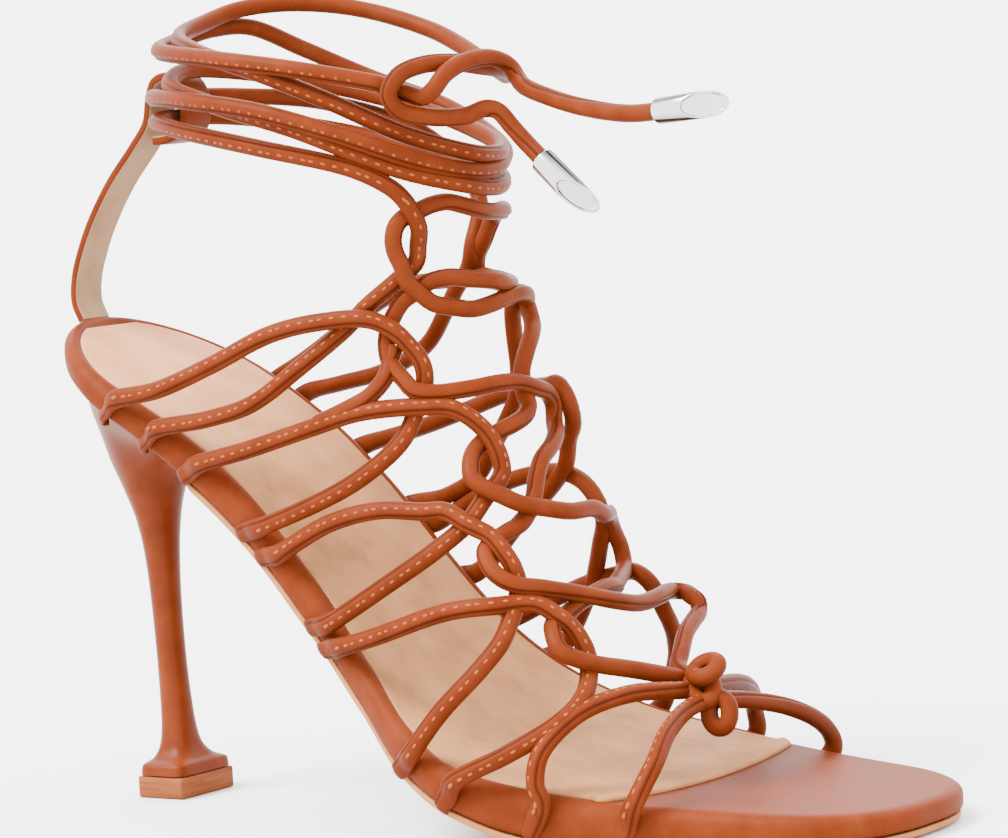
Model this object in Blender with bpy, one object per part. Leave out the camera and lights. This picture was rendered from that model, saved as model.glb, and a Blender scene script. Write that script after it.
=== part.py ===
"""Lace-up heeled sandal, right shoe: sole, stiletto heel, strap net, heel strap and tied ankle lace.

Tables are in millimetres in the shoe's own frame: x runs from the back of the heel to the toe,
y from the wearer's right (near, outer side, negative) to the left, z up from the floor.
"""
import math

import bmesh
import bpy
import numpy as np

MM = 0.001

# driving sizes, mm
BACK = -1.0
LENGTH = 206.6
MIDDLE = (101.6, 1.2)
GAP = 0.3
CORD = 3.8
HEEL_ROUND = 26.0
TOE_ROUND = 24.0
TOE_POWER = 2.5
RIM = 2.5
OUTSOLE = 1.5
SOCK = 1.0
BREAST = 41.0
SOCK_FRONT = 158.5
SOCK_SIDE = 153.0
CORD_SIDES = 6
CORD_STEP = 6.5
LACE_STEP = 5.0
FOOT_DROPS = (7.0, 3.5)
FOOT_LEAN = 0.4

# sole sections: station, top of the board, underside of the outsole, half width near and far
SOLE = np.array([
    (0, 107.6, 99.6, 26.0, 26.0),
    (15, 99.3, 91.2, 26.5, 26.5),
    (30, 91.2, 82.4, 26.0, 26.0),
    (45, 81.8, 71.5, 25.2, 25.2),
    (60, 69.0, 58.0, 24.7, 24.7),
    (75, 52.5, 41.0, 25.0, 25.0),
    (90, 36.0, 25.5, 28.5, 27.5),
    (105, 24.0, 14.0, 36.0, 33.0),
    (120, 16.5, 7.0, 40.5, 39.5),
    (135, 12.6, 2.0, 38.5, 43.0),
    (150, 10.6, 0.0, 34.5, 42.0),
    (165, 9.2, 0.0, 29.5, 39.5),
    (180, 8.4, 0.0, 25.5, 36.0),
    (195, 7.8, 0.0, 22.5, 32.5),
    (210, 7.2, 0.6, 21.5, 30.0),
])
TOP, UNDER, NEAR, FAR = 1, 2, 3, 4

# last, as a fan of sections: station on the insole, then x and z of the instep ridge above it
LAST = np.array([
    (5, 115.0, 141.0),
    (28, 112.0, 126.0),
    (45, 110.0, 112.0),
    (65, 114.0, 96.0),
    (85, 122.5, 78.0),
    (105, 131.5, 58.0),
    (125, 140.5, 41.5),
    (145, 150.0, 31.0),
    (165, 160.5, 25.0),
])
LAST_POWER = 2.3

# ankle ring that the lace is wound on: centre x, half length, half width
ANKLE = (70.0, 39.5, 30.0)

# heel sections: height, centre x, half length, half width, squareness, share of the seat's slope
HEEL = (
    (5.2, 15.5, 6.5, 9.5, 7.0, 0.0),
    (7.2, 15.5, 6.3, 9.2, 7.0, 0.0),
    (8.8, 15.2, 5.0, 6.4, 4.0, 0.0),
    (11.5, 14.7, 4.1, 4.7, 2.8, 0.0),
    (16.0, 14.4, 3.7, 4.0, 2.2, 0.0),
    (31.0, 13.6, 3.35, 3.45, 2.0, 0.0),
    (45.0, 13.1, 3.5, 3.6, 2.0, 0.0),
    (55.0, 12.8, 4.0, 4.2, 2.0, 0.0),
    (63.0, 12.4, 5.0, 5.4, 2.0, 0.0),
    (70.0, 11.8, 6.8, 7.6, 2.0, 0.15),
    (77.0, 12.2, 9.8, 11.2, 2.0, 0.4),
    (83.5, 14.8, 13.8, 16.0, 2.1, 0.75),
    (0.0, 18.6, 17.6, 20.8, 2.2, 1.0),
    (0.0, 20.2, 19.6, 23.4, 2.3, 1.0),
)
SEAT_STEP = 3.5
HEEL_SIDES = 20
LIFT = (13.0, 19.0, 4.9)

# side loops of the strap net: station, degrees over the last from that side's edge, lift off it
NEAR_LOOPS = (
    ((27, 0, 0), (30, 5, 0), (31, 14, 0.5), (31, 26, 1), (34, 35, 1.5), (39, 45, 1.5), (44, 50, 1.5),
     (49, 53, 1), (55, 55, 0.5), (59, 54, -0.5), (62, 50, -1), (66, 44, -1), (68, 38, 0), (68.5, 25, 0),
     (67, 13, 0), (64, 0, 0)),
    ((49, 0, 0), (52, 9, 0), (55, 22, 0), (58, 34, 1), (64, 49, 1.5), (68, 58, 1.5), (75, 65, 1),
     (81, 67, 0), (84, 66, -1), (86, 57, -1.5), (88, 47, -1), (88, 35, 0), (86, 20, 0), (82, 0, 0)),
    ((69, 0, 0), (71, 13, 0), (75, 25, 0.5), (81, 36, 1), (84, 42, 1.5), (89, 47, 1.5), (94, 53, 1.5),
     (98, 56, 1), (102, 58, 0.5), (105, 58, -1), (110, 51, -0.5), (113, 44, 0), (114, 33, 0),
     (113, 15, 0), (112, 0, 0)),
    ((86, 0, 0), (90, 8, 0), (99, 32, 0), (106, 48, 0.5), (111, 61, 0.5), (116, 66, 1), (121, 69, 1),
     (127, 69, 0), (130, 67, -1), (135, 60, -0.5), (138, 51, 0), (138, 37, 0), (132, 16, 0), (124, 0, 0)),
)
FAR_LOOPS = (
    ((27, 0, 0), (25, 6, 0.5), (23, 12, 0.5), (21, 19, 0.5), (21, 26, 0.5), (25, 33, 0.5), (30, 41, 0.5),
     (36, 52, 0.3), (41, 60, 0), (44, 62, 0), (47, 59, 0), (52, 55, 0), (58, 49, 0), (62, 42, 0), (64, 34, 0), (66, 24, 0),
     (68, 14, 0), (67, 5, 0), (65, 0, 0)),
    ((51, 0, 0), (54, 9, 0), (57, 22, 0), (60, 36, 0.5), (64, 50, 1), (67, 60, 2), (69, 66, 3.5),
     (73, 67, 4), (77, 62, 3), (78, 53, 1.5), (80, 45, 0.5), (80, 35, 0), (79, 16, 0), (79, 0, 0)),
    ((69, 0, 0), (71, 13, 0), (74, 25, 0.5), (79, 37, 1.5), (82, 41, 2), (86, 46, 1.5), (90, 48, 1),
     (93, 45, 0.5), (94, 36, 0), (95, 28, 0), (96, 20, 0), (97, 0, 0)),
    ((88, 0, 0), (91, 8, 0), (95, 20, 0.5), (99, 30, 1), (103, 40, 0.5), (107, 45, 0), (110, 46, -0.5),
     (113, 43, -1.5), (115, 36, -1.5), (116, 28, -1), (117, 18, -0.5), (118, 0, 0)),
)
# short strand of the near side, from the second loop's leg up to the lace at the first loop
CATCH = ((55, 24, 0), (56, 33, 1), (56, 38, 1), (54, 44, 1), (51, 47, 0), (48, 50, -1))

# toe straps: near half of each up to the toe knot, then the far half
TOE_STRAPS = (
    (((143, 0, 0), (141, 6, 0), (139, 21, 0), (140, 45, 0), (145, 68, 0.5), (153, 88, 0.5)),
     ((140, 0, 0), (139, 10, -1), (141, 30, -3), (147, 60, -2))),
    (((161, 0, 0), (163, 9, 0), (166, 32, 0), (164, 60, 0), (160, 87, 0)),
     ((161, 0, 0), (162, 10, -1), (163, 30, -2.5), (162, 60, -2))),
)

# collar straps up to the ankle, where each runs on into the wound lace; the near one's top is on the ring
NEAR_COLLAR = ((38, 0, 0), (42, 7, 0), (44, 15, 0), (42, 27, 0), (38, 40, -1.5), (35, 46, -1.5),
               (32, 54, -1.5), (29, 60, -1.5), (24, 61, -1.5))
NEAR_COLLAR_TOP = ((34, 128, 0), (37, 132, 1))
FAR_COLLAR = ((34, 0, 0), (36, 4, 0), (39, 12, 0), (39, 24, -1), (34, 32, -1), (30, 37, -1),
              (26, 41, 0), (20, 44, 0))

# criss-cross lace: both strands hook the loops in turn, given from the ankle to the toe knot
STRAND_P = (
    (20, 54, 1.6), (24, 54, 1.6), (29, 55, 1.6), (34, 56, 1.6), (38, 59, 1.5), (42, 63, 1.2),
    (45, 70, 1), (47, 77, 1), (47, 85, 1), (46, 92, 1.2), (45, 101, 2), (45, 110, 2.8), (46, 116, 3),
    (49, 114, 3), (53, 111, 2.8), (57, 104, 2), (61, 97, 1.2), (65, 93, 0), (69, 92, -1), (73, 91, -1),
    (75, 87, -1), (76, 79, -1), (76, 72, -1.5), (76, 66, -1.8), (77, 60, -1.5), (79, 56, 0), (82, 54, 1),
    (85, 56, 1.6), (88, 60, 1.8), (92, 67, 1.5), (95, 77, 1), (97, 86, 1), (97, 97, 0.5), (97, 108, -0.5),
    (95, 121, 0), (94, 131, 1), (95, 138, 2), (97, 142, 2.5), (100, 142, 0.5), (103, 133, -3.5),
    (107, 114, -6), (110, 102, -5), (112, 91, -2.5), (114, 79, -1.5), (115, 72, -1.8), (116, 65, -1),
    (119, 62, 0.5), (124, 60, 1.5), (128, 62, 1.8), (133, 68, 1.5), (139, 78, 1.2), (145, 87, 1),
    (151, 92, 1),
)
STRAND_Q = (
    (20, 134, 1.5), (24, 138, 1.8), (28, 139, 1.8), (32, 134, 1), (36, 124, -0.5), (40, 110, -1),
    (42, 97, 0), (41, 88, 1), (39, 76, 1), (37, 69, 1), (36, 63, 0), (37, 59, -1), (38, 55, -1.8),
    (43, 50, -1.5), (47, 48, -1), (51, 47, 0), (57, 48, 1.5), (60, 49, 1.8), (63, 55, 1.5), (65, 63, 1.2),
    (66, 69, 1), (67, 78, 1), (68, 87, 1), (70, 95, 1), (71, 104, 1), (73, 110, 0.5), (76, 110, -1),
    (79, 103, -1.2), (82, 94, -1.2), (85, 85, -1), (88, 80, -1.5), (91, 76, -1.8), (94, 68, -1.8),
    (94, 61, -1.8), (94, 55, -1.5), (95, 50, 0), (99, 50, 1), (103, 53, 1.6), (106, 57, 1.8),
    (109, 64, 1.5), (112, 72, 1), (115, 80, 1), (118, 88, 1), (119, 97, 0), (117.5, 109, 0),
    (115, 121, 0.5), (114, 129, 2), (116, 128, 3.5), (119, 124, 4), (122, 122, 4.5), (124, 121, 3.5),
    (128, 112, 2.5), (132, 104, 2), (138, 97, 1.5), (144, 92, 1),
)
# toe knot on the last, and how far from it the two strands end, mm
TOE_KNOT = (157, 90, 1.0)
KNOT_ENDS = ((0.6, -0.9, 1.4), (1.4, 0.8, 2.2))
# the lace between the tops of the two strands, round the front of the ankle ring: as the wound lace
FRONT_RING = (
    (42, 129, 0), (38, 130.8, -1), (33, 131.8, -1), (28, 132.8, -1), (21, 133.2, -1), (14, 132.3, -1),
    (3, 130.8, -1), (-22, 130, -1.5), (-40, 130, -1), (-54, 128, 0),
)

# wound ankle lace: degrees round from the front by the near side, height, lift off the ring
WOUND_P = (
    (41, 135.6, 1.0), (46, 138.1, 1.0), (57, 141.6, 0.2), (88, 146.8, 0), (125, 151.2, 1.0),
    (155, 153.2, 3.6), (180, 153.8, 5.0), (205, 153.0, 3.6), (235, 149.5, 1.0), (270, 143.8, 0),
    (312, 138.6, -0.8), (340, 135.8, -1.0), (360, 135.6, 0), (376, 136.8, 1.2), (400, 140.6, 1.2),
    (435, 150.4, 0), (465, 156.2, 0), (500, 161.0, 0), (540, 164.2, -0.8), (585, 161.0, 0),
    (630, 153.0, 0), (675, 145.0, -0.8), (700, 142.8, -1.0), (716, 142.6, 0), (732, 143.4, 1.0),
    (757, 148.0, 0), (782, 155.8, 0), (806, 162.6, 0), (832, 167.5, -0.5), (870, 171.5, -3.0),
    (900, 174.5, -4.5), (924, 177.2, -3.5), (947, 177.8, -2.0), (970, 175.8, 0), (998, 170.0, 0),
    (1036, 161.4, -0.8), (1056, 159.2, 1.0),
)
WOUND_Q = (
    (-66, 131.5, 1.5), (-75, 138.5, 2.4), (-92, 147.5, 2.8), (-125, 155.4, 2.8), (-155, 157.8, 4.0),
    (-180, 158.4, 5.0), (-205, 158.6, 4.0), (-245, 157.6, 2.8), (-275, 154.6, 2.8), (-300, 149.0, 2.8),
    (-325, 142.4, 2.6), (-348, 139.4, 1.2), (-366, 139.4, -0.2), (-384, 140.8, -0.9), (-404, 143.8, 0.6),
    (-440, 152.5, 2.8), (-469, 160.5, 2.8), (-490, 167.5, 1.5), (-510, 173.0, -0.5), (-528, 173.0, -1.0),
    (-550, 170.6, 0.5), (-582, 168.6, 2.0), (-620, 166.2, 2.8), (-644, 163.6, 2.8), (-662, 161.0, 2.8),
    (-674, 159.0, 2.8),
)

# lace knot at the front of the ankle, same columns; each strand carries on into a free end
KNOT_P = (
    (1056, 159.2, 1.0), (1074, 160.3, 4.0), (1092, 161.5, 6.0), (1104, 162.6, 7.0), (1114, 162.4, 7.4),
    (1121, 160.5, 7.4), (1124, 156.6, 7.0), (1121, 153.1, 6.8), (1112, 151.5, 7.2), (1102, 151.3, 9.0),
    (1097, 152.6, 11.2), (1095, 152.0, 13.2),
)
KNOT_Q = (
    (-674, 159.0, 2.8), (-678, 158.0, 2.8), (-682, 156.8, 4.5), (-686, 155.8, 7.5), (-688, 157.3, 10.0),
    (-691, 160.1, 10.5), (-697, 162.4, 10.0), (-708, 163.1, 9.5), (-715, 161.1, 10.0), (-715, 158.5, 12.0),
    (-713, 156.8, 15.0),
)
# free ends: x, y, z of the points that follow the knot
END_SHORT = ((123.6, -10.2, 148.6), (126.8, -10.0, 145.2), (131.2, -10.6, 141.4))
END_LONG = ((131.0, -7.2, 154.4), (141.0, -9.5, 151.9), (152.0, -12.0, 150.3), (158.0, -13.2, 150.1),
            (163.0, -14.0, 150.4))
AGLET_LENGTH = 17.0
AGLET = 5.6

# heel strap: x and z of its middle line from the sole to the keeper, then round the keeper's fold
STRAP_LINE = (
    (-2.9, 108.7), (-4.7, 112.8), (-4.3, 118.2), (-2.0, 124.4), (1.8, 131.5), (8.0, 140.0), (15.2, 147.6),
    (19.6, 153.0), (20.8, 158.2), (22.6, 162.0), (26.2, 163.0), (29.6, 160.6), (30.9, 156.0),
    (29.4, 151.2), (25.6, 149.2), (21.6, 148.8),
)
STRAP_WIDTH = 9.5
STRAP_THICK = 2.0

COLOURS = {
    "cognac": ((0.42, 0.13, 0.045, 1), 0.42, 0.0),
    "beige": ((0.62, 0.47, 0.34, 1), 0.8, 0.0),
    "tan": ((0.66, 0.42, 0.24, 1), 0.6, 0.0),
    "chrome": ((0.8, 0.8, 0.8, 1), 0.15, 1.0),
}


def even_curve(xs, ys, x):
    """Smooth curve through a table that doesn't overshoot it and runs on straight past its ends."""
    xs = np.asarray(xs, float)
    ys = np.asarray(ys, float)
    width = np.diff(xs)
    slope = np.diff(ys) / width
    tangent = np.zeros_like(ys)
    for i in range(1, len(xs) - 1):
        if slope[i - 1] * slope[i] > 0:
            tangent[i] = 2 * slope[i - 1] * slope[i] / (slope[i - 1] + slope[i])
    tangent[0], tangent[-1] = slope[0], slope[-1]
    inside = min(max(x, xs[0]), xs[-1])
    i = int(np.clip(np.searchsorted(xs, inside) - 1, 0, len(xs) - 2))
    u = (inside - xs[i]) / width[i]
    value = ys[i] * (1 + 2 * u) * (1 - u) ** 2 + tangent[i] * width[i] * u * (1 - u) ** 2
    value += ys[i + 1] * u * u * (3 - 2 * u) + tangent[i + 1] * width[i] * u * u * (u - 1)
    return value + (x - inside) * (tangent[0] if x < inside else tangent[-1])


def sole(x, column):
    return even_curve(SOLE[:, 0], SOLE[:, column], x)


def sole_slope(x):
    return (sole(x + 0.5, TOP) - sole(x - 0.5, TOP))


def board_under(x):
    """Height of the board's underside: the outsole's thickness and a gap above the tread."""
    return sole(x, UNDER) + OUTSOLE * math.hypot(1, sole_slope(x)) + GAP


def end_share(x):
    """How much of the half width is left near the round heel and the squared toe."""
    if x < HEEL_ROUND:
        return math.sqrt(max(0.0, 1 - ((HEEL_ROUND - x) / (HEEL_ROUND - BACK)) ** 2))
    past = (x - (LENGTH - TOE_ROUND)) / TOE_ROUND
    return 1.0 if past <= 0 else max(0.0, 1 - past ** TOE_POWER) ** (1 / TOE_POWER)


def outline(stations, inset):
    """Near and far edges at the stations, moved in by inset square to the edge."""
    edge = []
    for side in (-1, 1):
        for x in stations:
            middle = (sole(x, FAR) - sole(x, NEAR)) / 2
            half = (sole(x, FAR) + sole(x, NEAR)) / 2
            edge.append((x, middle + side * half * end_share(x)))
    count = len(stations)
    loop = np.array(edge[:count] + edge[count:][::-1])
    ahead = np.roll(loop, -1, axis=0)
    behind = np.roll(loop, 1, axis=0)
    along = ahead - behind
    along /= np.linalg.norm(along, axis=1)[:, None]
    moved = loop + inset * np.column_stack([-along[:, 1], along[:, 0]])
    return moved[:count], moved[count:][::-1]


def end_stations(start, end, count):
    """Stations from start to end, closer together at both ends."""
    return [start + (end - start) * (1 - math.cos(math.pi * i / (count - 1))) / 2 for i in range(count)]


def on_last(station, degrees, lift=0.0):
    """Point over the last: from the near edge (0) by the ridge (90) to the far edge (180)."""
    turn = math.radians(degrees)
    across, up = math.cos(turn), math.sin(turn)
    half = sole(station, NEAR if across > 0 else FAR) + RIM + GAP + CORD / 2
    base = np.array([station, 0.0, sole(station, TOP)])
    ridge = np.array([even_curve(LAST[:, 0], LAST[:, 1], station), 0.0,
                      even_curve(LAST[:, 0], LAST[:, 2], station)])
    rise = ridge - base
    share = 2 / LAST_POWER
    side = -math.copysign(half * abs(across) ** share, across)
    point = base + rise * abs(up) ** share + np.array([0, side, 0])
    outward = rise / np.linalg.norm(rise) * up + np.array([0, -across, 0])
    return point + outward * lift


def on_ankle(degrees, height, lift=0.0):
    turn = math.radians(degrees)
    middle, long_half, wide_half = ANKLE
    across, along = (wide_half + lift) * math.sin(turn), (long_half + lift) * math.cos(turn)
    return np.array([middle + along, -across, height])


def foot(station, far, drop):
    """Point beside the sole's edge, drop below its top, where a strap runs back down the side band."""
    station -= FOOT_LEAN * drop
    edge = on_last(station, 180 if far else 0)
    slope = sole_slope(station)
    down = np.array([slope, 0, -1]) / math.hypot(1, slope)
    return edge + down * drop


def strap_route(rows, far=False, both_feet=False):
    """Route of a strap from its rows, with its ends run down the side band."""
    points = [on_last(station, 180 - degrees if far else degrees, lift) for station, degrees, lift in rows]
    start = [foot(rows[0][0], far, drop) for drop in FOOT_DROPS]
    end = [foot(rows[-1][0], far, drop) for drop in FOOT_DROPS[::-1]] if both_feet else []
    return start + points + end


def lace_route(knot):
    """Route of the criss-cross lace from the toe knot to the front of the ankle and back."""
    up = [knot + KNOT_ENDS[0]] + [on_last(*row) for row in STRAND_P[::-1]]
    front = [on_ankle(*row) for row in FRONT_RING]
    down = [on_last(*row) for row in STRAND_Q] + [knot + KNOT_ENDS[1]]
    return up + front + down


def collar_routes():
    """Near and far collar strap, each up to the start of its wound lace."""
    near = strap_route(NEAR_COLLAR) + [on_ankle(*row) for row in NEAR_COLLAR_TOP]
    return near, strap_route(FAR_COLLAR, far=True)


def smooth_line(points, step):
    """Even points along a smooth curve through the route's own points."""
    points = np.array(points, float)
    ends = [2 * points[0] - points[1], *points, 2 * points[-1] - points[-2]]
    dense = []
    for i in range(1, len(ends) - 2):
        before, start, end, after = ends[i - 1:i + 3]
        knots = np.cumsum([0] + [np.linalg.norm(b - a) ** 0.5 for a, b in
                                 ((before, start), (start, end), (end, after))])
        for u in np.linspace(knots[1], knots[2], 12, endpoint=False):
            low = [(p * (knots[k + 1] - u) + q * (u - knots[k])) / (knots[k + 1] - knots[k])
                   for k, (p, q) in enumerate(((before, start), (start, end), (end, after)))]
            mid = [(low[k] * (knots[k + 2] - u) + low[k + 1] * (u - knots[k])) / (knots[k + 2] - knots[k])
                   for k in range(2)]
            dense.append((mid[0] * (knots[2] - u) + mid[1] * (u - knots[1])) / (knots[2] - knots[1]))
    dense = np.array(dense + [points[-1]])
    run = np.concatenate([[0], np.cumsum(np.linalg.norm(np.diff(dense, axis=0), axis=1))])
    count = max(2, round(run[-1] / step) + 1)
    at = np.linspace(0, run[-1], count)
    return np.column_stack([np.interp(at, run, dense[:, k]) for k in range(3)])


def joint_way(route, wound):
    """Way of the cord where a collar strap runs on into the winding."""
    way = on_ankle(*wound[1]) - route[-1]
    return way / np.linalg.norm(way)


def trimmed(line, start=0.0, end=0.0):
    """The line with its first and last points moved in along it."""
    line = np.array(line)
    line[0] += (line[1] - line[0]) / np.linalg.norm(line[1] - line[0]) * start
    line[-1] += (line[-2] - line[-1]) / np.linalg.norm(line[-2] - line[-1]) * end
    return line


def metres(point):
    return ((point[0] - MIDDLE[0]) * MM, (point[1] - MIDDLE[1]) * MM, point[2] * MM)


def material(name):
    found = bpy.data.materials.get(name)
    if found:
        return found
    colour, roughness, metallic = COLOURS[name]
    made = bpy.data.materials.new(name)
    made.use_nodes = True
    shader = made.node_tree.nodes["Principled BSDF"]
    shader.inputs["Base Color"].default_value = colour
    shader.inputs["Roughness"].default_value = roughness
    shader.inputs["Metallic"].default_value = metallic
    return made


def add_mesh(name, points, faces, finish):
    """One closed object from points in millimetres, faces turned out, shaded smooth."""
    mesh = bpy.data.meshes.new(name)
    mesh.from_pydata([metres(p) for p in points], [], faces)
    work = bmesh.new()
    work.from_mesh(mesh)
    bmesh.ops.recalc_face_normals(work, faces=work.faces)
    bmesh.ops.triangulate(work, faces=[f for f in work.faces if len(f.verts) > 4])
    work.to_mesh(mesh)
    work.free()
    mesh.shade_smooth()
    mesh.set_sharp_from_angle(angle=math.radians(40))
    mesh.materials.append(material(finish))
    thing = bpy.data.objects.new(name, mesh)
    bpy.context.scene.collection.objects.link(thing)
    return thing


def ring_solid(name, rings, finish, cap_strips=False):
    """Closed solid between rings of equal count; caps are fans, or strips from near to far."""
    count = len(rings[0])
    points = [p for ring in rings for p in ring]
    faces = []
    for level in range(len(rings) - 1):
        for i in range(count):
            j = (i + 1) % count
            a, b = level * count, (level + 1) * count
            faces.append((a + i, a + j, b + j, b + i))
    for first in (0, (len(rings) - 1) * count):
        if cap_strips:
            for i in range(count // 2 - 1):
                faces.append((first + i, first + i + 1, first + count - 2 - i, first + count - 1 - i))
        else:
            faces.append(tuple(first + i for i in range(count)))
    return add_mesh(name, points, faces, finish)


def tube(name, line, closed=False, start_way=None, end_way=None):
    """Round cord along a line, with flat ends, or joined into a ring; the ways turn its ends."""
    line = np.array(line)
    count = len(line)
    if closed:
        along = np.roll(line, -1, axis=0) - np.roll(line, 1, axis=0)
    else:
        along = np.gradient(line, axis=0)
    along /= np.linalg.norm(along, axis=1)[:, None]
    if start_way is not None:
        along[0] = start_way
    if end_way is not None:
        along[-1] = end_way
    side = np.cross(along[0], (0.31, 0.17, 0.94))
    rings = []
    for i in range(count):
        side = side - along[i] * np.dot(side, along[i])
        side /= np.linalg.norm(side)
        up = np.cross(along[i], side)
        turns = [2 * math.pi * k / CORD_SIDES for k in range(CORD_SIDES)]
        rings.append([line[i] + CORD / 2 * (math.cos(t) * side + math.sin(t) * up) for t in turns])
    if not closed:
        return ring_solid(name, rings, "cognac")
    points = [p for ring in rings for p in ring]
    faces = []
    twist = int(round(math.atan2(np.dot(rings[-1][0] - line[-1], rings[0][1] - line[0]),
                                 np.dot(rings[-1][0] - line[-1], rings[0][0] - line[0]))
                      / (2 * math.pi / CORD_SIDES)))
    for i in range(count):
        ahead = (i + 1) % count
        turn = twist if ahead == 0 else 0
        for k in range(CORD_SIDES):
            near, far = k, (k + 1) % CORD_SIDES
            faces.append((i * CORD_SIDES + near, i * CORD_SIDES + far,
                          ahead * CORD_SIDES + (far + turn) % CORD_SIDES,
                          ahead * CORD_SIDES + (near + turn) % CORD_SIDES))
    return add_mesh(name, points, faces, "cognac")


def joined(name, pieces):
    """Union of several cords as one solid: the first keeps the name, the others become tools."""
    first = pieces[0]
    first.name = name
    tools = bpy.data.collections.new(name + "_tools")
    bpy.context.scene.collection.children.link(tools)
    for piece in pieces[1:]:
        bpy.context.scene.collection.objects.unlink(piece)
        tools.objects.link(piece)
        piece.hide_render = True
        piece.display_type = "WIRE"
    union = first.modifiers.new("union", "BOOLEAN")
    union.operation = "UNION"
    union.operand_type = "COLLECTION"
    union.collection = tools
    union.solver = "EXACT"
    return first


def free_cord(name, line):
    """Loose lace end as a bevelled curve with filled ends."""
    curve = bpy.data.curves.new(name, "CURVE")
    curve.dimensions = "3D"
    curve.bevel_depth = CORD / 2 * MM
    curve.bevel_resolution = 2
    curve.use_fill_caps = True
    spline = curve.splines.new("POLY")
    spline.points.add(len(line) - 1)
    for point, place in zip(spline.points, line):
        point.co = (*metres(place), 1)
    curve.materials.append(material("cognac"))
    thing = bpy.data.objects.new(name, curve)
    bpy.context.scene.collection.objects.link(thing)
    return thing


def build_sole():
    """Leather-wrapped board, outsole under it and sock on it."""
    stations = end_stations(BACK + 0.05, LENGTH - 0.05, 30)

    def ring(inset, height, xs=stations):
        near, far = outline(xs, inset)
        return [(x, y, height(x)) for x, y in [*near, *far[::-1]]]

    def between(share):
        return lambda x: sole(x, TOP) + (board_under(x) - sole(x, TOP)) * share

    board = [ring(0.0, between(0)), ring(-1.6, between(0.09)), ring(-RIM, between(0.32)),
             ring(-RIM, between(0.8)), ring(-1.2, between(1.0))]
    ring_solid("board", board, "cognac", cap_strips=True)

    tread = [x for x in stations if x > BREAST]
    low = [ring(-1.0, lambda x: sole(x, UNDER), tread),
           ring(-1.8, lambda x: sole(x, UNDER) + 0.4, tread),
           ring(-1.8, lambda x: board_under(x) - GAP, tread)]
    ring_solid("outsole", low, "tan", cap_strips=True)

    xs = [BACK + 1.2] + [x for x in stations if BACK + 2 < x < SOCK_SIDE - 2] + [SOCK_SIDE]
    near, far = outline(xs, 1.2)

    def front(side):
        bow = SOCK_FRONT - SOCK_SIDE
        return [(SOCK_FRONT - bow * share ** 2, side[-1][1] * share) for share in (0.85, 0.6, 0.3)]

    edge = [*near, *front(near), *front(far)[::-1], *far[::-1]]
    ring_solid("sock", [[(x, y, sole(x, TOP) + GAP + level) for x, y in edge] for level in (0.0, SOCK)],
               "beige", cap_strips=True)


def build_heel():
    """Slim stem that flares to the seat above and to a squared foot below, and its top lift."""
    rings = []
    for row, (height, middle, long_half, wide_half, power, tilt) in enumerate(HEEL):
        ring = []
        for k in range(HEEL_SIDES):
            turn = 2 * math.pi * (k + 0.5) / HEEL_SIDES
            share = 2 / power
            x = middle + long_half * math.copysign(abs(math.cos(turn)) ** share, math.cos(turn))
            y = wide_half * math.copysign(abs(math.sin(turn)) ** share, math.sin(turn))
            if tilt == 1.0:
                z = board_under(x) - GAP - SEAT_STEP * (len(HEEL) - 1 - row)
            else:
                z = height + tilt * sole_slope(middle) * (x - middle)
            ring.append((x, y, z))
        rings.append(ring)
    ring_solid("heel", rings, "cognac")

    length, width, height = LIFT
    middle = HEEL[0][1]
    rings = []
    for level, inset in ((0.0, 0.5), (0.5, 0.0), (height, 0.0)):
        a, b = length / 2 - inset, width / 2 - inset
        rings.append([(middle + sx * a, sy * b, level) for sx, sy in ((-1, -1), (1, -1), (1, 1), (-1, 1))])
    ring_solid("top_lift", rings, "tan")


def build_strap_net():
    """Side loops, toe straps, collar straps and criss-cross lace, joined where they cross."""
    routes = [strap_route(rows, both_feet=True) for rows in NEAR_LOOPS]
    routes += [strap_route(rows, far=True, both_feet=True) for rows in FAR_LOOPS]
    routes.append([on_last(*row) for row in CATCH])
    for near_rows, far_rows in TOE_STRAPS:
        routes.append(strap_route(near_rows) + strap_route(far_rows, far=True)[::-1])
    knot = on_last(*TOE_KNOT)
    pieces = [tube("lace", smooth_line(lace_route(knot), LACE_STEP))]
    pieces += [tube("strap_%d" % i, smooth_line(route, CORD_STEP)) for i, route in enumerate(routes)]
    for name, route, wound in zip(("collar_near", "collar_far"), collar_routes(), (WOUND_P, WOUND_Q)):
        line = smooth_line(route + [on_ankle(*wound[0])], CORD_STEP)
        pieces.append(tube(name, trimmed(line, end=GAP), end_way=joint_way(route, wound)))
    for name, centre, reach, tilt in (("toe_knot_top", knot + (1.5, 0, 3.4), 3.4, 0.3),
                                      ("toe_knot_low", knot + (4.6, 0, -2.6), 3.2, -0.5)):
        ring = []
        for k in range(12):
            turn = 2 * math.pi * k / 12
            ring.append(centre + reach * np.array([math.cos(turn), tilt * math.sin(turn), math.sin(turn)]))
        pieces.append(tube(name, ring, closed=True))
    joined("strap_net", pieces)


def build_heel_strap():
    """Flat strap up the back of the heel with its end folded into the lace keeper."""
    line = smooth_line([(x, 0, z) for x, z in STRAP_LINE], 3.2)
    along = np.gradient(line, axis=0)
    along /= np.linalg.norm(along, axis=1)[:, None]
    rings = []
    for point, way in zip(line, along):
        out = np.array([way[2], 0, -way[0]])
        half, wide = STRAP_THICK / 2, STRAP_WIDTH / 2
        corners = ((-half, -wide), (half, -wide), (half, wide), (-half, wide))
        rings.append([point + out * a + np.array([0, b, 0]) for a, b in corners])
    ring_solid("heel_strap", rings, "cognac")


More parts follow.
